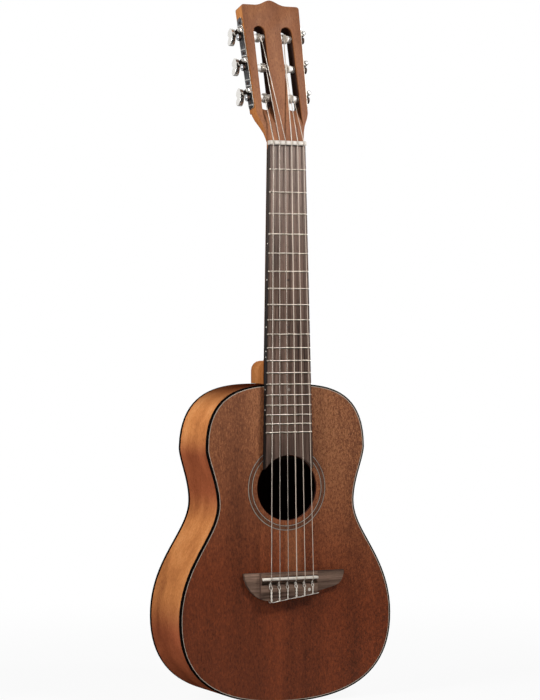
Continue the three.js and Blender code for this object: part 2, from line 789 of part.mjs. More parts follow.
function makeNeck() {
  const slab = prism(headSlabOutline(), 0, headThick);
  const headTools = [-1, 1].flatMap((sign) => [
    prism(slotOutline(sign), -overrun, headThick + overrun),
    rampTool(sign),
    ...rollerBores(sign),
  ]);
  const head = cut(joined([makeHeadRoot(), slab]), headTools).transform(headFrame.elements);
  const bodySpace = prism(outline(-seatGap), soundboardFront - overrun, backSurface(bodyBottom) + overrun);
  return meshGeometry(cut(joined([makeShaft(), makeHeel()]), [bodySpace]).add(head));
}

// Tuning machines, in a frame with x out of the head's side, y into its depth and z up.
function makeMachinePlate(sign) {
  const reach = rollerPitch + machinePlateOverhang;
  const half = machinePlateWidth / 2;
  const foot = half * plateFootShare;
  const [waist, lobe, flat] = plateLobeShares.map((share) => share * half);
  const top = reach + plateLobeRise;
  const shape = new THREE.Shape();
  shape.moveTo(foot, -reach);
  shape.quadraticCurveTo(half, -reach, half, -reach + half);
  shape.lineTo(half, reach - plateWaistRun);
  shape.quadraticCurveTo(waist, reach, lobe, reach + plateWaistRun);
  shape.quadraticCurveTo(lobe, top, flat, top);
  shape.lineTo(-flat, top);
  shape.quadraticCurveTo(-lobe, top, -lobe, reach + plateWaistRun);
  shape.quadraticCurveTo(-waist, reach, -half, reach - plateWaistRun);
  shape.lineTo(-half, -reach + half);
  shape.quadraticCurveTo(-half, -reach, -foot, -reach);
  const outlinePoints = shape.getPoints(4).map((point) => [point.x, point.y]);
  const plate = beam(outlinePoints, seatGap, plateOuter);
  const lugs = rollerPlaces.flatMap((place) => [-1, 1].map((end) => {
    const near = end * lugInner;
    const far = end * (lugInner + lugThick);
    const [front, back] = [Math.min(near, far), Math.max(near, far)];
    const foot = block(plateOuter - machinePlateThick / 2, wormOut, front, back,
      place + wormOffset - lugHalf, place + wormOffset + lugHalf);
    const round = barAlongY(front, back, lugHalf, lugSides).translate(wormOut, 0, place + wormOffset);
    return [foot, round];
  }).flat());
  const tools = rollerPlaces.flatMap((place) => [
    barAlongX(-overrun, wormOut, rollerNeckRadius + runGap, shaftSides).translate(0, 0, place),
    barAlongY(-lugInner - lugThick - overrun, lugInner + lugThick + overrun, shaftRadius + runGap,
      shaftSides).translate(wormOut, 0, place + wormOffset),
  ]);
  const geometry = meshGeometry(cut(joined([plate, ...lugs]), tools));
  return outward(geometry.scale(sign, 1, 1));
}

// The gear's teeth lie along the worm's thread, so its outline turns a little over its width.
function makeGear(sign) {
  const rootRadius = gearPitchRadius - toothDedendum;
  const tipRadius = gearPitchRadius + toothAddendum;
  const [rootHalf, tipHalf] = gearToothShares.map((share) => share / 2);
  const corners = [[rootRadius, -rootHalf], [tipRadius, -tipHalf], [tipRadius, tipHalf],
    [rootRadius, rootHalf]];
  const lead = toothPitch / (2 * Math.PI * wormPitchRadius);
  const ring = (x) => {
    const turn = ((x - wormOut) * sign * lead) / gearPitchRadius;
    const points = [];
    for (let tooth = 0; tooth < gearTeeth; tooth += 1) {
      corners.forEach(([radius, side]) => {
        const angle = ((tooth + 0.5 + side) * 2 * Math.PI) / gearTeeth + turn;
        points.push(new THREE.Vector3(sign * x, -radius * Math.sin(angle), radius * Math.cos(angle)));
      });
    }
    return points;
  };
  return band([ring(wormOut - gearWidth / 2), ring(wormOut + gearWidth / 2)]);
}

function makeRoller(sign) {
  const outer = wormOut + gearWidth / 2;
  const profile = [
    [rollerTip(sign), 0],
    [rollerTip(sign), rollerRadius - runGap],
    [rollerTip(sign) + runGap, rollerRadius],
    [-runGap, rollerRadius],
    [-runGap, rollerNeckRadius],
    [outer, rollerNeckRadius],
    [outer, screwHeadRadius],
    [outer + screwHeadThick / 2, screwHeadRadius],
    [outer + screwHeadThick, screwHeadRadius / 2],
    [outer + screwHeadThick, 0],
  ];
  const post = turnedAlongX(profile, rollerSides);
  if (sign < 0) post.rotateZ(Math.PI);
  return meshGeometry(joined([post, makeGear(sign)]));
}

// The worm's thread is right-handed about +y. At rest its crest, on the side that faces the gear,
// lies over the gap between two teeth.
function makeThread() {
  const sections = [];
  const count = threadTurns * threadSteps;
  for (let i = 0; i <= count; i += 1) {
    const turns = i / threadSteps - threadTurns / 2;
    const angle = 2 * Math.PI * turns;
    const axial = toothPitch * turns;
    const spoke = (radius, offset) => new THREE.Vector3(
      -radius * Math.sin(angle), axial + offset, -radius * Math.cos(angle));
    const rootHalf = (threadShares[0] * toothPitch) / 2;
    const tipHalf = (threadShares[1] * toothPitch) / 2;
    const inner = threadRoot * threadSinkShare;
    sections.push([spoke(inner, -rootHalf), spoke(threadTip, -tipHalf), spoke(threadTip, tipHalf),
      spoke(inner, rootHalf)]);
  }
  return band(sections);
}

function makeButtonHead() {
  const wide = buttonHalf - buttonBevel;
  const long = buttonLength - 2 * buttonBevel;
  const [topX, footX, shoulderX, bulgeX] = buttonWidthShares.map((share) => share * wide);
  const [footY, widestY, shoulderY] = buttonHeightShares.map((share) => share * long);
  const shape = new THREE.Shape();
  shape.moveTo(-buttonNeckHalf, 0);
  shape.lineTo(buttonNeckHalf, 0);
  shape.bezierCurveTo(buttonNeckHalf, footY, footX, 0, wide, widestY);
  shape.bezierCurveTo(bulgeX, shoulderY, shoulderX, long, topX, long);
  shape.quadraticCurveTo(buttonNeckHalf, long, 0, long - buttonDip);
  shape.quadraticCurveTo(-buttonNeckHalf, long, -topX, long);
  shape.bezierCurveTo(-shoulderX, long, -bulgeX, shoulderY, -wide, widestY);
  shape.bezierCurveTo(-footX, 0, -buttonNeckHalf, footY, -buttonNeckHalf, 0);
  const depth = buttonThick - 2 * buttonBevel;
  const head = new THREE.ExtrudeGeometry(shape, {
    depth,
    bevelSize: buttonBevel,
    bevelThickness: buttonBevel,
    bevelSegments: 1,
    curveSegments: 3,
  });
  return head.translate(0, buttonBevel, -depth / 2).rotateY(Math.PI / 2);
}

function makeButton(sign) {
  const lugOuter = lugInner + lugThick;
  const frontHead = -lugOuter - runGap;
  const back = lugOuter + runGap;
  const collarEnd = back + collarLength;
  const pieces = [
    barAlongY(-threadHalf, threadHalf, threadRoot, wormCoreSides),
    barAlongY(frontHead - screwHeadThick / 2, collarEnd, shaftRadius, shaftSides),
    barAlongY(frontHead - screwHeadThick, frontHead, screwHeadRadius, wormCoreSides),
    barAlongY(back, collarEnd + buttonBevel, collarRadius, wormCoreSides),
    makeThread(),
    makeButtonHead().rotateY(-sign * buttonTurn).translate(0, collarEnd, 0),
  ];
  return meshGeometry(joined(pieces));
}

// Strings
function tube(points, radius) {
  const along = points.map((point, i) => {
    const before = points[Math.max(i - 1, 0)];
    const after = points[Math.min(i + 1, points.length - 1)];
    return after.clone().sub(before).normalize();
  });
  let side = new THREE.Vector3(1, 0, 0);
  return band(points.map((point, i) => {
    side = side.clone().addScaledVector(along[i], -side.dot(along[i])).normalize();
    const other = along[i].clone().cross(side);
    return Array.from({ length: stringSides }, (_, k) => {
      const angle = (2 * Math.PI * k) / stringSides;
      return point.clone()
        .addScaledVector(side, radius * Math.cos(angle))
        .addScaledVector(other, radius * Math.sin(angle));
    });
  }));
}

// From the tie block: through its hole, round its lower edge and back over its top.
function tieRoute(k) {
  const radius = stringDiameters[k - 1] / 2;
  const x = stringX(k, saddleSpread);
  const edge = tieBlockEdge(x);
  const low = heightToY(tieHoleHeight);
  const top = heightToY(tieBlockThick) - seatGap - radius;
  const out = seatGap + radius;
  const aside = 2 * radius + seatGap;
  const asideShares = [1, 1, 0.9, 0.6, 0.2, 0, 0];
  const places = [
    [top, saddleLine - channelBottom - radius],
    [top, edge + out],
    [top + radius / 2, edge - out / 2],
    [(top + low) / 2, edge - 2 * out],
    [low, edge - 2 * out],
    [low, edge - out / 2],
    [low, saddleLine - channelBottom],
  ];
  return places.map(([y, z], i) => new THREE.Vector3(x + asideShares[i] * aside, y, z));
}

function windingRoute(k, nutExit) {
  const sign = k <= 3 ? 1 : -1;
  const row = k <= 3 ? k - 1 : 6 - k;
  const diameter = stringDiameters[k - 1];
  const radius = rollerRadius + runGap + diameter / 2;
  const frame = headFrame.clone().multiply(machineFrame(sign));
  const from = nutExit.clone().applyMatrix4(frame.clone().invert());
  const innerWall = slotCentre - slotWidth / 2 - headHalf(middleRoller);
  const startX = sign * (innerWall + windingInsets[row]);
  const step = row === 0 ? -sign : sign; // the lowest roller's turns run inwards
  const [dy, dz] = [from.y, from.z - rollerPlaces[row]];
  const distance = Math.hypot(dy, dz);
  const touch = Math.atan2(dz, -dy) + Math.acos(radius / distance);
  const pitch = diameter + windingSelfGap;
  const points = [];
  for (let i = 0; i <= windingTurns * windingSteps; i += 1) {
    const turns = i / windingSteps;
    const angle = touch + 2 * Math.PI * turns;
    points.push(new THREE.Vector3(startX + step * pitch * turns, -radius * Math.cos(angle),
      rollerPlaces[row] + radius * Math.sin(angle)).applyMatrix4(frame));
  }
  const [before, last] = points.slice(-2);
  points.push(last.clone().addScaledVector(last.clone().sub(before).normalize(), diameter));
  return points;
}

function stringRoute(k) {
  const radius = stringDiameters[k - 1] / 2;
  const xSaddle = stringX(k, saddleSpread);
  const xNut = stringX(k, nutSpread);
  const overSaddle = heightToY(saddleRise) - seatGap - radius;
  const overNut = -notchFloor - seatGap - radius;
  const half = saddleThick / 2;
  const nutExit = new THREE.Vector3(xNut, overNut, nutLength);
  return [
    ...tieRoute(k),
    new THREE.Vector3(xSaddle, overSaddle + radius, saddleLine - half),
    new THREE.Vector3(xSaddle, overSaddle, saddleLine),
    new THREE.Vector3(xNut, overNut, seatGap),
    nutExit,
    ...windingRoute(k, nutExit),
  ];
}

// Least clear space between a string's own turns, measured on the points of its route.
function selfGap(points, diameter) {
  let least = Infinity;
  for (let i = 0; i < points.length; i += 1) {
    for (let j = i + Math.ceil(windingSteps / 2); j < points.length; j += 1) {
      least = Math.min(least, points[i].distanceTo(points[j]) - diameter);
    }
  }
  return least;
}

// Finishes
const finish = (color, roughness, metalness = 0) =>
  new THREE.MeshStandardMaterial({ color, roughness, metalness });
const finishes = {
  top: finish(0x7a452b, 0.5),
  side: finish(0x9c5a2c, 0.5),
  neck: finish(0xa8693f, 0.55),
  bracing: finish(0xc9a877, 0.8),
  ebonized: finish(0x15110f, 0.45),
  rosette: finish(0x3a2418, 0.5),
  fingerboard: finish(0x5a4640, 0.65),
  fretWire: finish(0xb9b6b0, 0.3, 1),
  ivory: finish(0xe8e0d0, 0.45),
  roller: finish(0xdad8d2, 0.4),
  chrome: finish(0xc8c8ca, 0.2, 1),
  nylon: finish(0xd8cdbd, 0.35),
  wound: finish(0xb8aea0, 0.35, 0.8),
};

// Assembly
const guitalele = new THREE.Group();
const head = new THREE.Group();
head.applyMatrix4(headFrame);
guitalele.add(head);

function add(name, geometry, material, parent = guitalele, z = 0) {
  const mesh = new THREE.Mesh(welded(geometry), material);
  mesh.name = name;
  mesh.position.z = z;
  parent.add(mesh);
  return mesh;
}

add("soundboard", makeSoundboard(), finishes.top);
add("back", makeBack(), finishes.side);
add("side_bass", makeSide(-1), finishes.side);
add("side_treble", makeSide(1), finishes.side);
add("binding_front", makeFrontBinding(), finishes.ebonized);
add("binding_back", makeBackBinding(), finishes.ebonized);
add("rosette", makeRosette(), finishes.rosette);
add("lining_front", makeFrontLining(), finishes.bracing);
add("lining_back", makeBackLining(), finishes.bracing);
add("neck_block", makeEndBlock(neckBlockHalf, neckBlockLength, true), finishes.bracing);
add("tail_block", makeEndBlock(tailBlockHalf, tailBlockLength, false), finishes.bracing);
const frontPlate = () => soundboardBack + seatGap;
const backPlate = (z) => backInner(z) - seatGap;
add("brace_upper", makeBrace(upperBraceDrop, frontPlate, 1), finishes.bracing);
add("brace_lower", makeBrace(lowerBraceDrop, frontPlate, 1), finishes.bracing);
add("bridge_plate", makeBridgePlate(), finishes.bracing);
add("back_brace_upper", makeBrace(backBraceDrops[0], backPlate, -1), finishes.bracing);
add("back_brace_lower", makeBrace(backBraceDrops[1], backPlate, -1), finishes.bracing);
add("neck", makeNeck(), finishes.neck);
add("fretboard", makeFretboard(), finishes.fingerboard);
for (let n = 1; n <= fretCount; n += 1) {
  add(`fret_${String(n).padStart(2, "0")}`, makeFret(n), finishes.fretWire);
}
add("nut", makeNut(), finishes.ivory);
add("bridge", makeBridge(), finishes.fingerboard);
add("saddle", makeSaddle(), finishes.ivory);

for (const sign of [-1, 1]) {
  const machine = new THREE.Group();
  machine.applyMatrix4(machineFrame(sign));
  head.add(machine);
  add(sign < 0 ? "machine_plate_bass" : "machine_plate_treble", makeMachinePlate(sign), finishes.chrome,
    machine);
  rollerPlaces.forEach((place, row) => {
    const string = sign > 0 ? row + 1 : stringDiameters.length - row;
    add(`roller_${string}`, makeRoller(sign), finishes.roller, machine, place);
    const button = add(`button_${string}`, makeButton(sign), finishes.chrome, machine, place + wormOffset);
    button.position.x = sign * wormOut;
  });
}

stringDiameters.forEach((diameter, i) => {
  const route = stringRoute(i + 1);
  add(`string_${i + 1}`, tube(route, diameter / 2), i < 3 ? finishes.nylon : finishes.wound);
  console.log(`string ${i + 1}: least gap between its own turns ${selfGap(route, diameter).toFixed(2)} mm`);
});

export default guitalele;
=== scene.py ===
# A guitalele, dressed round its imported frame. Metres, +Z up the neck, the soundboard faces -Y, bass side -X.
from math import acos, atan2, cos, hypot, pi, radians, sin

import bmesh
import bpy
from mathutils import Matrix, Vector, kdtree


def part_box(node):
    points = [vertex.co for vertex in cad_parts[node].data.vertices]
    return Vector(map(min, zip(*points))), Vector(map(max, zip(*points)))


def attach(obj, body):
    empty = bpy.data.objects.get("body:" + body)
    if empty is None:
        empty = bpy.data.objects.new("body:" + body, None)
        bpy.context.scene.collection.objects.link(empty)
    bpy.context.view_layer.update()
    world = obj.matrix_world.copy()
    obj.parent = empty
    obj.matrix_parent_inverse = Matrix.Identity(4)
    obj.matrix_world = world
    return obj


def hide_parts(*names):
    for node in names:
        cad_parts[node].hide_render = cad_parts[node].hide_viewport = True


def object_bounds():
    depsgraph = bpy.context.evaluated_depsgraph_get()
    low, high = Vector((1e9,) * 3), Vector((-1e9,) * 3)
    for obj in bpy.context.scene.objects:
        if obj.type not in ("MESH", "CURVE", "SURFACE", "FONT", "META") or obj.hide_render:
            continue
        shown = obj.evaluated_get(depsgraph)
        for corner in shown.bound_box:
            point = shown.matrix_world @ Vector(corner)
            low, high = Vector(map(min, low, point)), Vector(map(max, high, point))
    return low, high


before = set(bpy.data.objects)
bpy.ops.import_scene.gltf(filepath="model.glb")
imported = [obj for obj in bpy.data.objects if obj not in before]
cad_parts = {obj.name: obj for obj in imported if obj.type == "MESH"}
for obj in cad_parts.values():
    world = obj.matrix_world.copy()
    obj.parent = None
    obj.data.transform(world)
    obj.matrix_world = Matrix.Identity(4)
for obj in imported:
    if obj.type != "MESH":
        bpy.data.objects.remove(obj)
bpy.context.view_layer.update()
print("frame loaded:", len(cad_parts), "nodes")


# Shader expressions: a wire wraps a socket, and sums on wires add Math nodes
class Wire:
    def __init__(self, look, socket):
        self.look = look
        self.socket = socket

    def sums(self, operation, *others):
        return self.look.node("ShaderNodeMath", {"operation": operation}, self, *others)

    def __add__(self, other):
        return self.sums("ADD", other)

    def __mul__(self, other):
        return self.sums("MULTIPLY", other)

    def __sub__(self, other):
        return self.sums("SUBTRACT", other)

    def __rsub__(self, other):
        return self.look.node("ShaderNodeMath", {"operation": "SUBTRACT"}, other, self)

    __radd__ = __add__
    __rmul__ = __mul__

    def atLeast(self, low):
        return self.sums("MAXIMUM", low)

    def between(self, low, high, toLow=0.0, toHigh=1.0):  # a smooth step from low to high
        return self.look.node("ShaderNodeMapRange", {"interpolation_type": "SMOOTHSTEP"},
                              self, low, high, toLow, toHigh)


class Look:
    def __init__(self, name, world=None):
        self.material = world or bpy.data.materials.new(name)
        self.material.use_nodes = True
        self.tree = self.material.node_tree
        self.shader = self.tree.nodes["Background" if world else "Principled BSDF"]

    # One node: its type, its settings, then the values or wires of its inputs in order, or by name
    def node(self, kind, settings=None, *values, out=0, **named):
        made = self.tree.nodes.new(kind)
        for key, value in (settings or {}).items():
            if key == "stops":
                ramp = made.color_ramp
                while len(ramp.elements) < len(value):
                    ramp.elements.new(1.0)
                for stop, (place, colour) in zip(ramp.elements, value):
                    stop.position = place
                    stop.color = (*rgb(colour), 1.0)
            else:
                setattr(made, key, value)
        for index, value in enumerate(values):
            self.feed(made.inputs[index], value)
        for key, value in named.items():
            self.feed(made.inputs[key.replace("_", " ")], value)
        return Wire(self, made.outputs[out])

    def feed(self, socket, value):
        if isinstance(value, Wire):
            self.tree.links.new(value.socket, socket)
            return
        if isinstance(value, str):
            value = rgb(value)
        if socket.type == "RGBA":
            value = (*value, 1.0)
        socket.default_value = value

    def shade(self, **inputs):
        for key, value in inputs.items():
            self.feed(self.shader.inputs[key.replace("_", " ")], value)
        return self.material

    def place(self, scale=(1, 1, 1)):  # Object coordinates, scaled to features a metre
        return self.mapped(self.node("ShaderNodeTexCoord", {}, out=3), scale)

    def mapped(self, spot, scale):
        return self.node("ShaderNodeMapping", {}, spot, Scale=scale)

    def along(self):  # the piece's own distance along itself, in metres
        return self.node("ShaderNodeAttribute", {"attribute_name": "along"}, out=2)

    def axis(self, spot, index):
        return self.node("ShaderNodeSeparateXYZ", {}, spot, out=index)

    def noise(self, spot, scale=1.0, detail=3.0, roughness=0.55, distortion=0.0):
        return self.node("ShaderNodeTexNoise", {}, Vector=spot, Scale=scale, Detail=detail,
                         Roughness=roughness, Distortion=distortion)

    def blend(self, share, first, second):
        mix = self.tree.nodes.new("ShaderNodeMix")
        mix.data_type = "RGBA"
        for socket, value in ((mix.inputs[0], share), (mix.inputs[6], first), (mix.inputs[7], second)):
            self.feed(socket, value)
        return Wire(self, mix.outputs[2])

    def ramp(self, value, *stops):
        return self.node("ShaderNodeValToRGB", {"stops": stops}, value)

    def wood(self, tone, tones, places=(0.22, 0.5, 0.8)):  # from the lightest tone to the darkest
        return self.ramp(tone, *zip(places, tones[::-1]))

    def zoned(self, colour, zones, tone=None):  # blends each zone's tone over patches, which add up
        spot = self.place()
        for tint, *patches in zones:
            share = 0.0
            for patch, *runs in patches:
                for way, low, high in runs:
                    along = self.node("ShaderNodeVectorMath", {"operation": "DOT_PRODUCT"}, spot, way, out=1)
                    patch = along.between(low, high) * patch
                share = patch + share
            colour = self.blend(share, colour, self.wood(tone, tint) if isinstance(tint, tuple) else tint)
        return colour

    def bump(self, height, strength, distance):
        return self.node("ShaderNodeBump", {}, Strength=strength, Distance=distance, Height=height)


def rgb(code):  # a hex colour as the linear values that a shader takes
    parts = [int(code[i:i + 2], 16) / 255 for i in (0, 2, 4)]
    return tuple(c / 12.92 if c <= 0.04045 else ((c + 0.055) / 1.055) ** 2.4 for c in parts)


# Finishes
flecked = {"roughening": 0.1, "bump": 0.08, "bumpDeep": 0.00004}


def plain(name, code, roughness, metallic=0.0, coat=0.0, speck=0.06, grainScale=900, **more):
    look = Look(name)
    flecks = look.noise(look.place(), grainScale, detail=3.0)
    darker, lighter = [[min(c * share, 1) for c in rgb(code)] for share in (1 - speck, 1 + speck)]
    colour = look.blend(flecks, darker, lighter)
    return look.shade(Base_Color=colour, Roughness=flecks * flecked["roughening"] + roughness,
                      Metallic=metallic, Coat_Weight=coat,
                      Normal=look.bump(flecks, flecked["bump"], flecked["bumpDeep"]), **more)


def mahogany(name, tones, grain, figure=0.0, coat=0.04, roughness=0.45, shine=0.22, spot=None, zones=()):
    look = Look(name)
    spot = spot(look) if spot else look.place()
    broad = look.noise(look.mapped(spot, grain["bands"]), detail=2.0, distortion=0.4)
    fibre = look.noise(look.mapped(spot, grain["fibres"]), detail=4.0, roughness=0.62)
    fleck = look.noise(look.mapped(spot, grain["flecks"]), detail=3.0, roughness=0.6, distortion=0.8)
    pores = look.noise(look.mapped(spot, grain["pores"]), detail=1.5, roughness=0.5)
    tone = ((broad - 0.5) * grain["bandShare"] + (fibre - 0.5) * grain["fibreShare"]
            + (fleck - 0.5) * grain["fleckShare"] + 0.5)
    if figure:
        mottle = look.noise(look.mapped(spot, grain["mottle"]), detail=3.0, roughness=0.6, distortion=1.6)
        across = look.axis(spot, 0).between(*grain["figured"], grain["leastFigure"], 1.0)
        tone = tone + (mottle - 0.5) * across * figure
    colour = look.zoned(look.wood(tone, tones), zones, tone)
    pit = pores.between(*grain["pits"])
    colour = look.blend(pit * grain["pitShare"], colour, [c * grain["pitTone"] for c in rgb(tones[2])])
    height = fibre * grain["fibreHigh"] - pit
    return look.shade(Base_Color=colour, Roughness=fibre * grain["roughening"] + roughness, Coat_Weight=coat,
                      Coat_Roughness=grain["coatRoughness"], Specular_IOR_Level=shine,
                      Normal=look.bump(height, *grain["relief"]))


def bodyGrain(**changes):
    grain = {"bands": (34, 20, 2.2), "fibres": (1300, 600, 60), "flecks": (700, 300, 300),
             "pores": (1900, 900, 260), "mottle": (640, 60, 400), "figured": (-0.05, 0.07),
             "leastFigure": 0.25, "bandShare": 0.8, "fibreShare": 0.35, "fleckShare": 1.3,
             "pits": (0.57, 0.7), "pitShare": 0.5, "pitTone": 0.45, "fibreHigh": 0.4,
             "relief": (0.25, 0.00006), "roughening": 0.14, "coatRoughness": 0.35}
    grain.update(changes)
    return grain


def wrappedSpot(look):  # along the bent side, through its thickness, and across its width
    across = look.axis(look.place(), 1)
    return look.node("ShaderNodeCombineXYZ", {}, across, 0.0, look.along())


# Where a finish changes tone. A zone is a tone and its patches, a patch a share and the runs that bound it,
# and a run is a direction, and where along it the patch begins and is whole, in metres.
xWay, yWay, zWay = (1, 0, 0), (0, 1, 0), (0, 0, 1)
topZones = (
    (("8a4222", "6d3219", "4f240e"), (1, ((0.25, 0, 1), -0.26, -0.46))),  # painted shade: deeper towards the tail, as the light falls off
    ("c07b50", (0.3, (xWay, -0.006, 0.002), (xWay, 0.02, 0.011),  # a paler streak at the bridge
                (zWay, -0.375, -0.395), (zWay, -0.46, -0.44))),
)
sideZones = (
    (("a3573a", "81422b", "59281b"), (0.9, (zWay, -0.385, -0.345), (zWay, -0.285, -0.315)),  # painted shade at the waist, where the side turns from the light
     (0.95, (zWay, -0.445, -0.492))),  # and painted shade at the tail
    (("562614", "431b0e", "2c1209"), (1, (zWay, -0.267, -0.24))),  # painted shade beside the neck, on the side's upward-facing top
)
neckZones = (
    ("421709", (0.85, (yWay, 0.032, 0.016), (zWay, -0.185, -0.195))),  # painted shade where the heel meets the body
    ("d8935a", (0.5, (zWay, 0.1, 0.14))),  # the upper head
    ("19110d", (1, (yWay, 0.009, 0.0082), (zWay, -0.002, -0.005))),  # black along the fretboard
)
boardZones = (
    ("a8988e", (0.3, (zWay, -0.16, 0.0))),  # painted light and sheen: paler towards the nut
    ("30231d", (0.4, (zWay, -0.265, -0.32))),  # painted shade: darker at its end over the body
)
boardSideZones = (("120e0d", (1, (zWay, -0.06, -0.2))),)  # darker towards the body
stringZones = (
    ("ece4d8", (0.8, (zWay, -0.436, -0.44)), (0.35, (zWay, 0.03, 0.06)),  # painted light: paler past the saddle and the nut
     (0.45, ((0, 1, -0.255), 0.0066, 0.0086), (zWay, 0.02, 0.03))),  # and painted light deep in the slots
)

topWood = mahogany("mahogany_top", ("a8704a", "865235", "623925"), bodyGrain(), figure=1.8, zones=topZones)
bandWood = mahogany("rosette_band", ("7d5039", "633a26", "46281a"), bodyGrain())
sideWood = mahogany("mahogany_side", ("d79760", "b87644", "844d2d"), spot=wrappedSpot, zones=sideZones,
                    coat=0.0, shine=0.0,
                    grain=bodyGrain(bands=(24, 20, 14), fibres=(1100, 600, 40), fleckShare=0.5))
backWood = mahogany("mahogany_back", ("a96a3b", "8c5530", "653a20"), bodyGrain())
neckGrain = bodyGrain(bands=(60, 60, 5), fibres=(1400, 1400, 40), fleckShare=0.4)
neckWood = mahogany("neck_wood", ("b5794a", "9c6236", "774824"), neckGrain, coat=0.0, roughness=0.5,
                    shine=0.0, zones=neckZones)
faceWood = mahogany("headstock_face", ("996845", "825338", "663e28"), neckGrain, coat=0.0, roughness=0.5,
                    shine=0.12)
# painted shade: the box's inside is a near-black wood, for the dark seen through the soundhole
shadedInnerWood = plain("inner_wood_painted_shade", "2c1611", 0.8, speck=0.3, grainScale=300, Specular_IOR_Level=0.1)


rosewoods = {"streakShare": 1.2, "bandShare": 0.9, "tones": (0.2, 0.8), "pits": (0.6, 0.72),
             "pitShare": 0.55, "pitTone": 0.3, "roughness": 0.5, "roughening": 0.2, "specular": 0.2,
             "streakHigh": 0.3, "relief": (0.3, 0.00006)}


def rosewood(name, light, dark, stretch=(420, 200, 14), broadBands=(130, 90, 6), poreLine=(2600, 2600, 150),
             zones=()):
    look = Look(name)
    streak = look.noise(look.place(stretch), detail=4.0, roughness=0.6, distortion=0.3)
    broad = look.noise(look.place(broadBands), detail=2.0)
    pores = look.noise(look.place(poreLine), detail=1.0)
    tone = (streak - 0.5) * rosewoods["streakShare"] + (broad - 0.5) * rosewoods["bandShare"] + 0.5
    colour = look.zoned(look.ramp(tone, *zip(rosewoods["tones"], (dark, light))), zones)
    pit = pores.between(*rosewoods["pits"])
    colour = look.blend(pit * rosewoods["pitShare"], colour, [c * rosewoods["pitTone"] for c in rgb(dark)])
    return look.shade(Base_Color=colour, Roughness=streak * rosewoods["roughening"] + rosewoods["roughness"],
                      Specular_IOR_Level=rosewoods["specular"],
                      Normal=look.bump(streak * rosewoods["streakHigh"] - pit, *rosewoods["relief"]))


boardWood = rosewood("fingerboard_wood", "80675a", "30231d", zones=boardZones)
lengthwise = {"stretch": (16, 260, 420), "broadBands": (5, 90, 150), "poreLine": (150, 2600, 2600)}
bridgeWood = rosewood("bridge_wood", "9a7c6a", "3d2c23", **lengthwise)
# painted light: the channel behind the saddle is a paler rosewood, where the saddle's shade falls
channelLitWood = rosewood("bridge_channel_painted_light", "b79d8b", "7d6556", **lengthwise)
# dark walls: end grain where the bridge is cut across, and painted shade along the wings' outline
bridgeEndAndShade = rosewood("bridge_end_grain_and_shade", "5a4439", "2f231d", **lengthwise)

blackBinding = plain("ebonized_binding", "0b0908", 0.65, Specular_IOR_Level=0.0)
paleLine = plain("pale_line", "b3a697", 0.4)
darkLine = plain("dark_line", "2a1b13", 0.4)
bone = plain("saddle_plastic", "e4dccf", 0.4, coat=0.1, speck=0.03)
ivory = plain("ivory_plastic", "b6ada2", 0.4, coat=0.1, speck=0.03)
rollerWhite = plain("roller_plastic", "f3f0ea", 0.4, coat=0.2, speck=0.03)
pearl = plain("pearl_dot", "d8d0c4", 0.25, coat=0.5, speck=0.16, grainScale=1500)
darkDot = plain("dark_dot", "3d2b23", 0.4)
paleDot = plain("pale_dot", "8f8378", 0.4)
chrome = plain("chrome", "b9babc", 0.16, metallic=1.0, speck=0.02)
gearSteel = plain("gear_steel", "3c302a", 0.5, metallic=1.0, speck=0.1)
plateSteel = plain("plate_steel", "434244", 0.3, metallic=1.0, speck=0.12, grainScale=260)
# painted highlight: the plate's ridges are a near-white steel
ridgeHighlight = plain("ridge_painted_highlight", "dcdad6", 0.25, metallic=1.0, speck=0.06)
# painted highlight: the pressing's edges and lugs are a pale cream steel
plateEdgeHighlight = plain("plate_edge_painted_highlight", "ddd5c8", 0.4, metallic=0.3, speck=0.03)
buttonNickel = plain("button_nickel", "e2dfda", 0.22, metallic=1.0, speck=0.03)
fretWire = plain("fret_wire", "9b9286", 0.32, metallic=1.0, speck=0.03)


def boardSide():
    look = Look("board_edge")
    return look.shade(Base_Color=look.zoned("2f2723", boardSideZones), Roughness=0.6, Specular_IOR_Level=0.1)


# painted shade: the braces, linings and blocks are a dark brown spruce, for the dark inside the box
def spruce():
    look = Look("bracing_wood")
    rings = look.noise(look.place((700, 700, 30)), detail=3.0)
    return look.shade(Base_Color=look.ramp(rings, (0.3, "33251a"), (0.7, "463324")), Roughness=0.8,
                      Specular_IOR_Level=0.1, Normal=look.bump(rings, 0.2, 0.0001))


def nylonLine():
    look = Look("nylon")
    return look.shade(Base_Color=look.zoned("b7a798", stringZones), Roughness=0.35, Coat_Weight=0.2)


# painted shade and highlight: the winding's grooves are darker and its crests lighter
winding = {"turn": 0.00022, "groove": "7d7268", "crest": "bdb2a6", "metallic": 0.75}


def woundWire():
    look = Look("wound_wire")
    turns = (look.along() * (2 * pi / winding["turn"])).sums("SINE") * 0.5 + 0.5
    tone = look.zoned(look.blend(turns, winding["groove"], winding["crest"]), stringZones)
    return look.shade(Base_Color=tone, Metallic=winding["metallic"], Roughness=turns * 0.1 + 0.3,
                      Normal=look.bump(turns, 0.4, 0.00008))


boardEdge = boardSide()
shadedBracing = spruce()
nylon = nylonLine()
woundString = woundWire()
print("finishes made")


# Building pieces
def piece(name, bm, looks, body="instrument", stands=(), sharp=35.0):
    bmesh.ops.remove_doubles(bm, verts=bm.verts, dist=1e-7)
    for face in bm.faces:
        face.smooth = True
    for edge in bm.edges:
        edge.smooth = len(edge.link_faces) == 2 and edge.calc_face_angle(0.0) < radians(sharp)
    mesh = bpy.data.meshes.new(name)
    bm.to_mesh(mesh)
    bm.free()
    for look in looks if isinstance(looks, (list, tuple)) else [looks]:
        mesh.materials.append(look)
    made = bpy.data.objects.new(name, mesh)
    bpy.context.scene.collection.objects.link(made)
    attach(made, body)
    if stands:
        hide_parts(*stands)
    return made


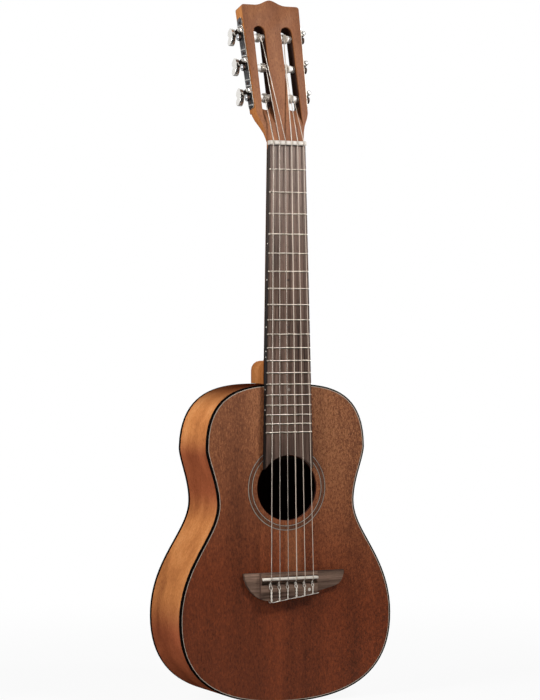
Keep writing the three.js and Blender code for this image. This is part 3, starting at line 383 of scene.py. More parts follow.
def outwards(bm):
    bmesh.ops.remove_doubles(bm, verts=bm.verts, dist=1e-7)
    bmesh.ops.recalc_face_normals(bm, faces=bm.faces)
    return bm


def closeHoles(bm):
    bmesh.ops.holes_fill(bm, edges=[e for e in bm.edges if e.is_boundary], sides=0)


def cut(bm, at, way, near=1e-6, clear=False):  # cuts along a plane, and clears what lies past it if asked
    bmesh.ops.bisect_plane(bm, geom=bm.verts[:] + bm.edges[:] + bm.faces[:], dist=near, plane_co=at,
                           plane_no=way, clear_outer=clear)


def vertsOf(geom):
    return [g for g in geom if isinstance(g, bmesh.types.BMVert)]


def edgesOf(geom):
    return [g for g in geom if isinstance(g, bmesh.types.BMEdge)]


def rounded(bm, edges, width, segments=2):
    bmesh.ops.bevel(bm, geom=list(edges), offset=width, offset_type="OFFSET", segments=segments,
                    profile=0.5, affect="EDGES", material=-1, clamp_overlap=True)


def sharpEdges(bm, angle=40.0):
    return [e for e in bm.edges if len(e.link_faces) == 2 and e.calc_face_angle(0.0) > radians(angle)]


def merged(node):  # a CAD node's mesh with its loose triangles joined and its flat faces whole
    bm = bmesh.new()
    bm.from_mesh(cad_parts[node].data)
    bmesh.ops.remove_doubles(bm, verts=bm.verts, dist=2e-6)
    bmesh.ops.dissolve_limit(bm, angle_limit=radians(0.6), verts=bm.verts, edges=bm.edges)
    return bm


def pushed(bm, step):  # extrudes all faces along a step
    grown = bmesh.ops.extrude_face_region(bm, geom=bm.faces[:])["geom"]
    bmesh.ops.translate(bm, verts=vertsOf(grown), vec=step)


def fromCurve(curve):
    holder = bpy.data.objects.new("holder", curve)
    mesh = bpy.data.meshes.new_from_object(holder)
    bm = bmesh.new()
    bm.from_mesh(mesh)
    bpy.data.objects.remove(holder)
    bpy.data.curves.remove(curve)
    bpy.data.meshes.remove(mesh)
    return bm


def traced(knots, steps):  # a flat face inside a loop of Bezier knots (place, before, after)
    curve = bpy.data.curves.new("traced", "CURVE")
    curve.dimensions = "3D"
    curve.resolution_u = steps
    spline = curve.splines.new("BEZIER")
    spline.bezier_points.add(len(knots) - 1)
    for knot, (place, before, after) in zip(spline.bezier_points, knots):
        knot.handle_left_type = knot.handle_right_type = "FREE"
        knot.co, knot.handle_left, knot.handle_right = place, before, after
    spline.use_cyclic_u = True
    bm = fromCurve(curve)
    bmesh.ops.contextual_create(bm, geom=bm.edges[:])
    return bm


# Spins corners round an axis, in one full turn or as a thread that climbs
def spun(bm, corners, axis, steps, closed=False, centre=(0, 0, 0), turns=1, climb=(0, 0, 0)):
    verts = [bm.verts.new(corner) for corner in corners]
    edges = [bm.edges.new(pair) for pair in zip(verts, verts[1:] + (verts[:1] if closed else []))]
    bmesh.ops.spin(bm, geom=verts + edges, cent=centre, axis=axis, dvec=climb, angle=2 * pi * turns,
                   steps=steps * turns, use_merge=turns == 1, use_duplicate=False)
    return outwards(bm)


def treeOf(spots):
    tree = kdtree.KDTree(len(spots))
    for i, spot in enumerate(spots):
        tree.insert(spot, i)
    tree.balance()
    return tree


# Body
body = {
    "front": 0.0059, "upper": (0.0875, 0.0637), "waist": (0.0753, 0.1195), "lower": (0.117, 0.2356),
    "length": 0.3205, "handles": (0.035, 0.0648, 0.0122, 0.0215, 0.0321, 0.0576, 0.0584, 0.0762),
    "depthAtNeck": 0.066, "depthAtTail": 0.0783, "arch": 0.0075, "plate": 0.0028, "side": 0.0022,
    "binding": 0.0015, "purfling": 0.00062, "seam": 0.00002, "edgeRound": 0.0004, "steps": 22,
    "strip": 0.0009, "backStrip": 0.0022, "middle": 0.19, "backStrips": 28,
}
body["top"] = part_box("side_treble")[1].z


def bodyKnots(depth):
    top, handle = body["top"], body["handles"]
    half = [
        ((0, top), (-handle[0], top), (handle[0], top)),
        *[((x, top - drop), (x, top - drop + before), (x, top - drop - after))
          for (x, drop), before, after in ((body["upper"], handle[1], handle[2]),
                                           (body["waist"], handle[3], handle[4]),
                                           (body["lower"], handle[5], handle[6]))],
        ((0, top - body["length"]), (handle[7], top - body["length"]), (-handle[7], top - body["length"])),
    ]
    other = [tuple((-x, z) for x, z in (place, after, before)) for place, before, after in half[3:0:-1]]
    return [tuple((x, depth, z) for x, z in knot) for knot in half + other]


def insetFaces(bm, wide):  # insets all faces together and returns the ring round them
    return bmesh.ops.inset_region(bm, faces=bm.faces[:], thickness=wide, use_even_offset=True,
                                  use_boundary=True)["faces"]


def bodyFace(depth, inset=0.0):
    bm = traced(bodyKnots(depth), body["steps"])
    if inset:
        bmesh.ops.delete(bm, geom=insetFaces(bm, inset), context="FACES")
    return bm


def bodyRing(outer, inner, depth):
    bm = bodyFace(depth, outer)
    ring = set(insetFaces(bm, inner - outer))
    bmesh.ops.delete(bm, geom=[f for f in bm.faces if f not in ring], context="FACES_ONLY")
    return bm


def backAt(z, plate=0.0):
    share = min(max((body["top"] - z) / body["length"], 0), 1)
    straight = body["depthAtNeck"] + (body["depthAtTail"] - body["depthAtNeck"]) * share
    return body["front"] + straight + 4 * body["arch"] * share * (1 - share) - plate


def bowed(bm, flat, plate):  # moves what lies at one depth onto the bowed back
    for vert in bm.verts:
        if abs(vert.co.y - flat) < body["seam"]:
            vert.co.y = backAt(vert.co.z, plate)


flatBody = bodyFace(0.0)
outlineSpots = [v.co.copy() for v in flatBody.verts]
flatBody.free()


def markAlong(made, spots, flat=True):  # each point's distance along a path, for grain that follows it
    tree = treeOf(spots)
    lengths = [0.0]
    for before, here in zip(spots, spots[1:]):
        lengths.append(lengths[-1] + (here - before).length)
    store = made.data.attributes.new("along", "FLOAT", "POINT")
    for i, vert in enumerate(made.data.vertices):
        _, index, _ = tree.find(Vector((vert.co.x, 0, vert.co.z)) if flat else vert.co)
        store.data[i].value = lengths[index]


def outerLoop(bm, depth, reach):  # the edges that lie on the body's outline at one depth
    tree = treeOf(outlineSpots)
    chosen = {v for v in bm.verts if abs(v.co.y - depth) < body["seam"]
              and tree.find(Vector((v.co.x, 0, v.co.z)))[2] < reach}
    return [e for e in bm.edges if e.verts[0] in chosen and e.verts[1] in chosen]


def bowedBy(bm, flat):  # bends what was made flat along the bowed back
    for vert in bm.verts:
        vert.co.y += backAt(vert.co.z) - flat


def buildBindings():
    front, back = body["front"], backAt(0)
    for side, flat, way in (("front", front, 1), ("back", back, -1)):
        bm = bodyRing(0.0, body["binding"], flat)
        pushed(bm, (0, way * body["plate"], 0))
        outwards(bm)
        rounded(bm, outerLoop(bm, flat, body["seam"] * 3), body["edgeRound"], 3)
        if side == "back":
            bowedBy(bm, back)
        piece("binding_%s_trim" % side, bm, blackBinding, stands=["binding_" + side])
    bm = bodyRing(body["binding"] + body["seam"], body["binding"] + body["purfling"], front)
    pushed(bm, (0, body["plate"] / 2, 0))
    piece("purfling_line", outwards(bm), paleLine)


def innerFaces(bm):  # the faces that look into the box
    bm.normal_update()
    heart = Vector((0, (body["front"] + backAt(0)) / 2, body["top"] - body["middle"]))
    return [f for f in bm.faces if f.normal.dot(f.calc_center_median() - heart) < 0]


def buildSides():
    inside = body["plate"] + body["seam"]
    front, back = body["front"] + inside, backAt(0)
    for name, sign in (("side_bass", -1), ("side_treble", 1)):
        bm = bodyRing(0.0, body["side"], front)
        pushed(bm, (0, back - front, 0))
        cut(bm, (0, back - body["backStrip"], 0), (0, 1, 0))
        bowed(bm, back, inside)
        bowed(bm, back - body["backStrip"], inside + body["backStrip"])
        cut(bm, (0, front + body["strip"], 0), (0, 1, 0))
        cut(bm, (0, 0, 0), (-sign, 0, 0), clear=True)
        closeHoles(bm)
        outwards(bm)
        inner = set(innerFaces(bm))
        for face in bm.faces:
            spot = face.calc_center_median()
            strip = not front + body["strip"] < spot.y < backAt(spot.z, inside + body["backStrip"])
            face.material_index = 2 if face in inner else int(strip)
        made = piece(name + "_wall", bm, [sideWood, blackBinding, shadedInnerWood], stands=[name])
        markAlong(made, outlineSpots)


def buildBack():
    flat = backAt(0)
    bm = bodyFace(flat, body["binding"] + body["seam"])
    for i in range(1, body["backStrips"]):
        cut(bm, (0, 0, body["top"] - body["length"] * i / body["backStrips"]), (0, 0, 1))
    pushed(bm, (0, -body["plate"], 0))
    outwards(bm)
    bowedBy(bm, flat)
    for face in innerFaces(bm):
        face.material_index = 1
    piece("back_plate", bm, [backWood, shadedInnerWood], stands=["back"])


hole = {
    "centre": (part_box("rosette")[0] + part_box("rosette")[1]) / 2, "radius": 0.0327, "edge": 0.0005,
    "grooveIn": 0.0376, "grooveOut": 0.0433, "groove": 0.001, "sides": 160,
}


def ringOf(bm, edges, radius, depth):  # extrudes a circle of edges to another radius and depth
    grown = bmesh.ops.extrude_edge_only(bm, edges=edges)["geom"]
    middle = Vector((0, 0, hole["centre"].z))
    for vert in vertsOf(grown):
        spoke = Vector((vert.co.x, 0, vert.co.z)) - middle
        vert.co = middle + spoke.normalized() * radius + Vector((0, depth, 0))
    return edgesOf(grown)


def buildSoundboard():
    front, back = body["front"], body["front"] + body["plate"]
    bm = bodyFace(front, body["binding"] + body["purfling"] + body["seam"])
    bmesh.ops.delete(bm, geom=bm.faces[:], context="FACES_ONLY")
    outer = bm.edges[:]
    circle = bmesh.ops.create_circle(bm, radius=hole["grooveOut"], segments=hole["sides"],
                                     matrix=Matrix.Translation((0, front, hole["centre"].z))
                                     @ Matrix.Rotation(pi / 2, 4, "X"))["verts"]
    inner = list({e for v in circle for e in v.link_edges})
    bmesh.ops.triangle_fill(bm, use_beauty=True, edges=outer + inner, normal=(0, -1, 0))
    steps = [(hole["grooveOut"], front + hole["groove"]), (hole["grooveIn"], front + hole["groove"]),
             (hole["grooveIn"], front), (hole["radius"] + hole["edge"], front)]
    steps += [(hole["radius"] + hole["edge"] * (1 - sin(a)), front + hole["edge"] * (1 - cos(a)))
              for a in (pi / 8, pi / 4, 3 * pi / 8, pi / 2)]
    edges = inner
    for radius, depth in steps + [(hole["radius"], back)]:
        edges = ringOf(bm, edges, radius, depth)
    grown = bmesh.ops.extrude_edge_only(bm, edges=outer)["geom"]
    bmesh.ops.translate(bm, verts=vertsOf(grown), vec=(0, body["plate"], 0))
    bmesh.ops.triangle_fill(bm, use_beauty=True, edges=edgesOf(grown) + edges, normal=(0, 1, 0))
    outwards(bm)
    bm.normal_update()
    for face in bm.faces:
        middle = face.calc_center_median() - hole["centre"]
        wall = hypot(middle.x, middle.z) < hole["radius"] + hole["edge"] / 2
        face.material_index = int(wall or face.normal.y > 0.9)
    piece("soundboard_plate", bm, [topWood, shadedInnerWood], stands=["soundboard"])


# The rosette's rings from the inside out: finish, width
rosette = {"inner": 0.0378, "depth": 0.0009,
           "rings": (("dark", 0.0003), ("pale", 0.0005), ("dark", 0.0004), ("wood", 0.0029),
                     ("dark", 0.0004), ("pale", 0.0005), ("dark", 0.0003))}


def buildRosette():
    looks = {"dark": darkLine, "pale": paleLine, "wood": bandWood}
    front, deep = body["front"], body["front"] + rosette["depth"]
    middle = hole["centre"].z
    radii = [rosette["inner"]]
    for _, width in rosette["rings"]:
        radii.append(radii[-1] + width)
    corners = [(r, front, middle) for r in radii] + [(r, deep, middle) for r in (radii[-1], radii[0])]
    bm = spun(bmesh.new(), corners, (0, 1, 0), hole["sides"], closed=True, centre=(0, 0, middle))
    names = list(looks)
    for face in bm.faces:
        spot = face.calc_center_median()
        radius = hypot(spot.x, spot.z - middle)
        for (kind, _), low, high in zip(rosette["rings"], radii, radii[1:]):
            if low < radius < high and spot.y < deep - body["seam"]:
                face.material_index = names.index(kind)
    piece("rosette_rings", bm, list(looks.values()), stands=["rosette"])


buildBindings()
buildSides()
buildBack()
buildSoundboard()
buildRosette()
print("body made")

# the braces, linings and blocks take the dark spruce of painted shade
for node in ("lining_front", "lining_back", "neck_block", "tail_block", "brace_upper", "brace_lower",
             "bridge_plate", "back_brace_upper", "back_brace_lower"):
    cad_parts[node].material_slots[0].material = shadedBracing


# Neck, fretboard, frets and nut
board = {"scale": 0.433, "half": 0.0197, "taper": 0.0046 / 0.2165, "frets": 19, "edge": 0.0004,
         "crownWide": 0.0015, "crownHigh": 0.001, "tangDeep": 0.0018, "tangHalf": 0.00025,
         "inset": 0.00025, "endSlope": 0.6, "endLift": 0.0012, "endFrom": 0.003,
         "faceDots": (7, 10, 15), "faceDot": 0.0015, "dotSunk": 0.0001, "dotThick": 0.00026,
         "sideDots": (5, 7, 10, 12, 15, 17), "sideDot": 0.0007, "sideDotDeep": 0.0027, "twoApart": 0.003,
         "nutRound": 0.0002}


# The head's own frame: x across, y into its depth, z up its face
head = {"tilt": radians(-14.3), "at": (0, 0.0053, 0.004953), "taper": radians(1.73),
        "middle": (0.030307, 0.0075, 0.0796), "pitch": 0.0324, "roller": 0.0037, "innerWall": 0.0087,
        "slot": (0.0152, 0.0065), "slack": 0.0003, "wallRun": (0.036, 0.1235), "earsFrom": 0.0335,
        "faceRound": 0.001, "edgeRound": 0.0003, "slotShadeDepths": (0.0003, 0.0028), "slotShadeTone": "42271e"}
headFrame = Matrix.Translation(head["at"]) @ Matrix.Rotation(head["tilt"], 4, "X")


inwards = headFrame.to_3x3() @ Vector((0, 1, 0))
shadeBounds = [inwards.dot(headFrame.translation) + deep for deep in head["slotShadeDepths"]]
slotZones = ((head["slotShadeTone"], (1, (inwards[:], *shadeBounds))),)  # painted shade: the slots' walls darken with depth below the face
slotWood = mahogany("slot_wall", ("a76d40", "8c5730", "6b3f20"), neckGrain, coat=0.0, roughness=0.6,
                    shine=0.03, zones=slotZones)


def fretPlace(n):
    return -board["scale"] * (1 - 2 ** (-n / 12))


def boardHalf(z):
    return board["half"] - z * board["taper"]


def buildFretboard():
    bm = merged("fretboard")
    inner = board["half"] - board["edge"]
    for sign in (-1, 1):
        cut(bm, (sign * inner, 0, 0), (sign, 0, board["taper"]))
    for vert in bm.verts:  # the end's curve lies just above the soundhole's edge
        if vert.co.z < fretPlace(board["frets"]) - board["endFrom"]:
            vert.co.z += board["endLift"]
    for face in bm.faces:
        middle = face.calc_center_median()
        face.material_index = int(abs(middle.x) + middle.z * board["taper"] > inner)
    piece("fretboard_slab", bm, [boardWood, boardEdge], stands=["fretboard"])


def buildFret(n):
    z, half = fretPlace(n), boardHalf(fretPlace(n)) - board["inset"]
    bm = bmesh.new()
    place = Matrix.Translation((-half, 0, z)) @ Matrix.Rotation(pi / 2, 4, "Y")
    radius = board["crownWide"] / 2
    bmesh.ops.create_circle(bm, cap_ends=True, radius=radius, segments=24, matrix=place)
    bmesh.ops.scale(bm, verts=bm.verts, vec=(1, board["crownHigh"] / radius, 1))
    cut(bm, (0, 0, 0), (0, 1, 0), 1e-7, clear=True)
    pushed(bm, (2 * half, 0, 0))
    closeHoles(bm)
    for vert in bm.verts:  # the ends slope in
        vert.co.x -= (1 if vert.co.x > 0 else -1) * -vert.co.y * board["endSlope"]
    tang = bmesh.ops.create_cube(bm, size=1)["verts"]
    bmesh.ops.scale(bm, verts=tang, vec=(2 * half, board["tangDeep"], 2 * board["tangHalf"]))
    bmesh.ops.translate(bm, verts=tang, vec=(0, board["tangDeep"] / 2, z))
    name = "fret_%02d" % n
    piece(name + "_wire", outwards(bm), fretWire, stands=[name], sharp=50)


def disc(bm, at, radius, thick, facing):  # a thin round inlay, facing an axis
    turn = Vector((0, 0, 1)).rotation_difference(Vector(facing)).to_matrix().to_4x4()
    bmesh.ops.create_cone(bm, cap_ends=True, cap_tris=False, segments=20, radius1=radius, radius2=radius,
                          depth=thick, matrix=Matrix.Translation(at) @ turn)


def buildDots():
    inSide, inFace = bmesh.new(), bmesh.new()
    thick, sunk = board["dotThick"], board["dotSunk"]
    for n in board["sideDots"]:
        middle = (fretPlace(n) + fretPlace(n - 1)) / 2
        for z in ((middle - board["twoApart"], middle + board["twoApart"]) if n == 12 else (middle,)):
            disc(inSide, (-boardHalf(z) + sunk, board["sideDotDeep"], z), board["sideDot"], thick,
                 (-1, 0, -board["taper"]))
    for n in board["faceDots"]:
        disc(inFace, (0, sunk, (fretPlace(n) + fretPlace(n - 1)) / 2), board["faceDot"], thick, (0, -1, 0))
    for face in inFace.faces:  # those past the twelfth fret are paler
        face.material_index = int(face.calc_center_median().z < fretPlace(12))
    piece("side_dots", outwards(inSide), pearl)
    piece("face_dots", outwards(inFace), [darkDot, paleDot])


def bevelledCopy(node, name, looks, width, angle=40.0):
    bm = merged(node)
    rounded(bm, sharpEdges(bm, angle), width)
    return piece(name, bm, looks, stands=[node])


def buildNeck():  # the head's face edges are rounded wider, and the walls of its slots take a finish painted darker with depth, painted shade
    bm = merged("neck")
    inward = headFrame.inverted()
    (middle, half), (low, high) = head["slot"], head["wallRun"]

    def onFace(vert):
        across, deep, up = inward @ vert.co
        inSlot = abs(abs(across) - middle) < half + head["slack"]
        return abs(deep) < body["seam"] and up > head["earsFrom"] and not inSlot

    rounded(bm, [e for e in sharpEdges(bm, 50) if onFace(e.verts[0]) and onFace(e.verts[1])],
            head["faceRound"], 3)
    rounded(bm, sharpEdges(bm, 50), head["edgeRound"], 2)
    bm.normal_update()
    for face in bm.faces:
        across, deep, up = inward @ face.calc_center_median()
        facing = inward.to_3x3() @ face.normal
        walled = low < up < high and abs(abs(across) - middle) < half + head["slack"]
        face.material_index = int(walled and abs(facing.y) < 0.3)
        if facing.y < -0.95 and up > 0:
            face.material_index = 2
    piece("neck_carving", bm, [neckWood, slotWood, faceWood], stands=["neck"])


buildFretboard()
for n in range(1, board["frets"] + 1):
    buildFret(n)
buildDots()
bevelledCopy("nut", "nut_block", ivory, board["nutRound"])
buildNeck()
print("neck made")


# Bridge and strings
bridge = {"front": 0.0059, "line": -0.4352, "block": 0.0086, "rise": 0.0119, "thick": 0.0026,
          "channelLow": 0.006, "aboveFloor": 0.001, "slack": 0.0002, "hole": 0.0061, "round": 0.00035,
          "saddleRound": 0.0003, "blockBass": 0.0328, "blockTreble": 0.0298, "bassFoot": 0.02,
          "bassDrop": 0.0226, "trebleDrop": 0.0154,
          "dot": (0.0205, -0.4473), "dotRadius": 0.0016, "dotThick": 0.00012}
strings = {"diameters": (0.00071, 0.00081, 0.001, 0.00074, 0.00086, 0.00106), "nutSpread": 0.0334,
           "saddleSpread": 0.0466, "notch": 0.0014, "nutBack": 0.0042, "gap": 0.0003, "turns": 3,
           "turnGap": 0.00046, "insets": (0.0084, 0.0025, 0.0031), "steps": 28}
tie = {"steps": 26, "from": 0.0004, "run": 0.0006, "high": 2.2, "eyeShare": 0.3, "eyeWide": 1.3,
       "eye": 0.001, "twists": 1.5, "tailSteps": 8, "tailFrom": 0.0006, "tailHigh": 0.0009,
       "tailDrop": 0.0012, "sag": 0.0004, "clear": 0.0001, "pastNext": 0.0014, "firstTail": 0.0072}


def machineFrame(sign):
    out, deep, up = head["middle"]
    return (headFrame @ Matrix.Translation((sign * out, deep, up))
            @ Matrix.Rotation(sign * head["taper"], 4, "Y"))


def seat(k):  # the side and the row of a string's machine
    return (1, k - 1) if k <= 3 else (-1, 6 - k)


def stringX(k, spread):
    return spread / 2 - (k - 1) * spread / 5


def lowerEdge(x):
    share = max((x + bridge["bassFoot"]) / (bridge["blockTreble"] + bridge["bassFoot"]), 0)
    return bridge["line"] - bridge["bassDrop"] - (bridge["trebleDrop"] - bridge["bassDrop"]) * share


def tiePoints(k):  # the free end, the tied pair over the block, and the run through its hole
    r, x = strings["diameters"][k - 1] / 2, stringX(k, strings["saddleSpread"])
    top, low = bridge["front"] - bridge["block"], bridge["front"] - bridge["hole"]
    channel, edge, aside = bridge["line"] - bridge["channelLow"], lowerEdge(x), 2 * r
    middle, over, eyeShare = x + aside, top - tie["high"] * r, tie["eyeShare"]
    pair = {1: [], -1: []}
    for side in (1, -1):
        for i in range(tie["steps"] + 1):
            u = i / tie["steps"]
            z = channel - tie["from"] + (edge - channel + tie["run"]) * u
            if u < eyeShare:
                wide = tie["eyeWide"] * r * (1 - u / eyeShare) + tie["eye"] * sin(pi * u / eyeShare)
                spot = (x + aside * u / eyeShare + side * wide, over - side * r * u / eyeShare, z)
            else:
                turn = pi / 2 + 2 * pi * tie["twists"] * (u - eyeShare) / (1 - eyeShare)
                spot = (middle + side * r * cos(turn), over - side * r * sin(turn), z)
            pair[side].append(Vector(spot))
    reach = stringX(k - 1, strings["saddleSpread"]) + tie["pastNext"] if k > 1 else x + tie["firstTail"]
    tail = []
    for i in range(tie["tailSteps"] + 1):
        u = i / tie["tailSteps"]
        along = middle + tie["tailFrom"] + (reach - middle) * u
        sag = tie["sag"] * sin(pi * u) + tie["clear"]
        deep = top + tie["tailHigh"] - tie["tailDrop"] * u * u
        tail.append(Vector((along, deep, lowerEdge(along) - r - sag)))
    loop = [Vector((x + side * wide * r, deep, channel + lift)) for side, wide, deep, lift in
            ((-1, 1.9, top - 2.6 * r, 0.0006), (-1, 1.6, -0.0038, 0.0015), (0, 0, -0.0049, 0.0021),
             (1, 1.6, -0.0038, 0.0015), (1, 1.9, top - 2.6 * r, 0.0006))]
    foot = [(middle, top + 0.3 * r, edge - 1.2 * r), (middle, top + 0.0015, edge - 2.2 * r),
            (x + 0.4 * aside, low - 0.0006, edge - 2.2 * r), (x, low, edge - 0.6 * r), (x, low, channel)]
    return tail[::-1] + pair[-1][::-1] + loop + pair[1] + [Vector(p) for p in foot]


def windingPoints(k, nutExit):
    sign, row = seat(k)
    diameter = strings["diameters"][k - 1]
    radius = head["roller"] + strings["gap"] + diameter / 2
    at = machineFrame(sign)
    start = at.inverted() @ nutExit
    lift = (row - 1) * head["pitch"]
    inner = head["innerWall"] - head["middle"][0]
    first, step = sign * (inner + strings["insets"][row]), -sign if row == 0 else sign
    touch = atan2(start.z - lift, -start.y) + acos(radius / hypot(start.y, start.z - lift))
    points = []
    for i in range(strings["turns"] * strings["steps"] + 1):
        turns = i / strings["steps"]
        angle = touch + 2 * pi * turns
        points.append(at @ Vector((first + step * (diameter + strings["turnGap"]) * turns,
                                   -radius * cos(angle), lift + radius * sin(angle))))
    return points + [points[-1] + (points[-1] - points[-2]).normalized() * diameter]


def stringPoints(k):
    r = strings["diameters"][k - 1] / 2
    low, high = stringX(k, strings["saddleSpread"]), stringX(k, strings["nutSpread"])
    overSaddle = bridge["front"] - bridge["rise"] - strings["gap"] - r
    overNut = -strings["notch"] - strings["gap"] - r
    line, half = bridge["line"], bridge["thick"] / 2
    crown = [Vector((low, overSaddle + deeper, up)) for deeper, up in
             ((r, line - half), (0.25 * r, line - half / 2), (0, line), (0.0001, line + half))]
    nutExit = Vector((high, overNut, strings["nutBack"]))
    return (tiePoints(k) + crown + [Vector((high, overNut, strings["gap"])), nutExit]
            + windingPoints(k, nutExit))


def tube(points, radius):  # a round cord through points
    curve = bpy.data.curves.new("cord", "CURVE")
    curve.dimensions, curve.bevel_depth, curve.bevel_resolution = "3D", radius, 2
    curve.use_fill_caps = True
    spline = curve.splines.new("POLY")
    spline.points.add(len(points) - 1)
    for spot, point in zip(spline.points, points):
        spot.co = (*point, 1)
    return outwards(fromCurve(curve))


def buildStrings():
    for k in range(1, 7):
        points = stringPoints(k)
        bm = tube(points, strings["diameters"][k - 1] / 2)
        made = piece("string_%d_run" % k, bm, nylon if k <= 3 else woundString, stands=["string_%d" % k],
                     sharp=60)
        markAlong(made, points, flat=False)


def buildBridge():
    carving = bevelledCopy("bridge", "bridge_carving", [bridgeWood, bridgeEndAndShade, channelLitWood], bridge["round"],
                           angle=50)
    low, high = bridge["line"] - bridge["channelLow"], bridge["line"]
    for face in carving.data.polygons:  # the walls are dark: end grain where cut across, and painted shade along the wings; the channel behind the saddle is paler: painted light
        sunk = face.center.y > bridge["front"] - bridge["block"] + bridge["aboveFloor"]
        within = low < face.center.z < high and abs(face.center.x) < bridge["blockBass"] - bridge["slack"]
        if sunk and within:
            face.material_index = 2
        elif abs(face.normal.y) < 0.5:
            face.material_index = 1
    bevelledCopy("saddle", "saddle_strip", bone, bridge["saddleRound"])
    bm = bmesh.new()
    x, z = bridge["dot"]
    disc(bm, (x, bridge["front"] - bridge["block"], z), bridge["dotRadius"],
         bridge["dotThick"], (0, -1, 0))
    piece("bridge_dot", outwards(bm), pearl)


buildBridge()
buildStrings()
print("bridge and strings made")


# Tuning machines, in a frame at the middle roller: x out of the head's side, y its depth, z up the row
machine = {
    "plateIn": 0.0003, "plateThick": 0.001, "half": 0.0059, "round": 0.0003, "lugFrom": 0.0003,
    "lug": 0.0012, "lugIn": 0.0041597, "wormOut": 0.00425, "wormUp": 0.0064, "wormRadius": 0.0021,
    "turns": 3, "thread": (0.26, 0.1), "threadRoot": 0.8, "threadSteps": 26, "shaft": 0.00125,
    "teeth": 14, "pitchRadius": 0.0043, "addendum": 0.00055, "dedendum": 0.00075, "gearWidth": 0.0026,
    "toothTip": 0.6, "toothRound": 0.0001, "neck": 0.0022, "tip": 0.0044, "drumRound": (0.0005, 0.0003),
    "screw": 0.0023, "wheelScrew": 0.002185, "screwHigh": 0.0009, "plateScrew": 0.0014,
    "plateScrewHigh": 0.0008, "screwPlaces": (-0.0372, -0.0165, 0.0156, 0.0484),
    "collar": 0.0022, "collarLong": 0.0038, "collarRound": 0.0003, "collarTip": (0.0011, 0.002),
    "collarTaper": 0.8, "lean": radians(8),
    "ridgePlaces": (-0.0402, -0.0195, -0.0133, 0.0125, 0.019, 0.0445), "ridge": 0.0007,
    "ridgeShort": 0.0014, "ridgeSlant": radians(15),
    "button": {"half": 0.0094, "long": 0.0124, "thick": 0.0044, "neck": 0.0025, "dip": 0.0026,
               "round": 0.0015},
}
machine["toothPitch"] = 2 * pi * machine["pitchRadius"] / machine["teeth"]


def turned(profile, steps=32):  # spins (along x, radius) corners round the x axis
    return spun(bmesh.new(), [(x, 0, radius) for x, radius in profile], (1, 0, 0), steps)


screwShape = {"dome": ((0.2, 1.0), (0.6, 0.8), (0.9, 0.45), (1.0, 0.0)),  # shares of its height and radius
              "slotHalf": 0.0004, "slotFloor": 0.4}


def moved(bm, step):
    bmesh.ops.translate(bm, verts=bm.verts, vec=step)
    return bm


def rotated(bm, angle, axis):
    bmesh.ops.rotate(bm, verts=bm.verts, cent=(0, 0, 0), matrix=Matrix.Rotation(angle, 3, axis))
    return bm


def joinInto(bm, other, index=None):
    mesh = bpy.data.meshes.new("joined")
    if index is not None:
        for face in other.faces:
            face.material_index = index
    other.to_mesh(mesh)
    other.free()
    bm.from_mesh(mesh)
    bpy.data.meshes.remove(mesh)


def screwHead(bm, radius, high, at):  # a domed head with a slot, facing +x
    dome = turned([(-high / 2, 0), (-high / 2, radius)]
                  + [(up * high, out * radius) for up, out in screwShape["dome"]], 24)
    for side in (-1, 1):
        cut(dome, (0, side * screwShape["slotHalf"], 0), (0, side, 0), 1e-7)
    for vert in dome.verts:
        if abs(vert.co.y) < screwShape["slotHalf"] * 0.9 and vert.co.x > screwShape["slotFloor"] * high:
            vert.co.x = screwShape["slotFloor"] * high
    joinInto(bm, moved(dome, at))


def toSide(bm, sign, row=1):  # turns a part made for the middle row to its own side and row
    bmesh.ops.scale(bm, verts=bm.verts, vec=(sign, 1, 1))
    bmesh.ops.recalc_face_normals(bm, faces=bm.faces)
    moved(bm, (0, 0, (row - 1) * head["pitch"]))
    bmesh.ops.transform(bm, matrix=machineFrame(sign), verts=bm.verts)
    return bm


def buildPlate(side, sign):
    node = "machine_plate_" + side
    bm = merged(node)
    rounded(bm, sharpEdges(bm, 50), machine["round"], 2)
    bm.normal_update()
    outer, inward = machine["plateIn"] + machine["plateThick"], machineFrame(sign).inverted()
    for face in bm.faces:
        flat = (inward.to_3x3() @ face.normal).x * sign > 0.9
        out = (inward @ face.calc_center_median()).x * sign
        # painted highlight on the pressing's rounded edges and lugs; its flat face keeps the dark steel
        face.material_index = int(not flat or out > outer + machine["lugFrom"])
    screws = bmesh.new()
    for z in machine["screwPlaces"]:
        screwHead(screws, machine["plateScrew"], machine["plateScrewHigh"], (outer, 0, z))
    # ridges across the plate, in the painted highlight finish
    ridges = bmesh.new()
    for z in machine["ridgePlaces"]:
        across = Matrix.Translation((outer, 0, z)) @ Matrix.Rotation(pi / 2 + machine["ridgeSlant"], 4, "X")
        bmesh.ops.create_cone(ridges, cap_ends=True, segments=12, radius1=machine["ridge"],
                              radius2=machine["ridge"], depth=2 * machine["half"] - machine["ridgeShort"],
                              matrix=across)
    joinInto(bm, toSide(screws, sign), 2)
    joinInto(bm, toSide(ridges, sign), 3)
    piece(node + "_pressing", bm, [plateSteel, plateEdgeHighlight, gearSteel, ridgeHighlight], stands=[node])


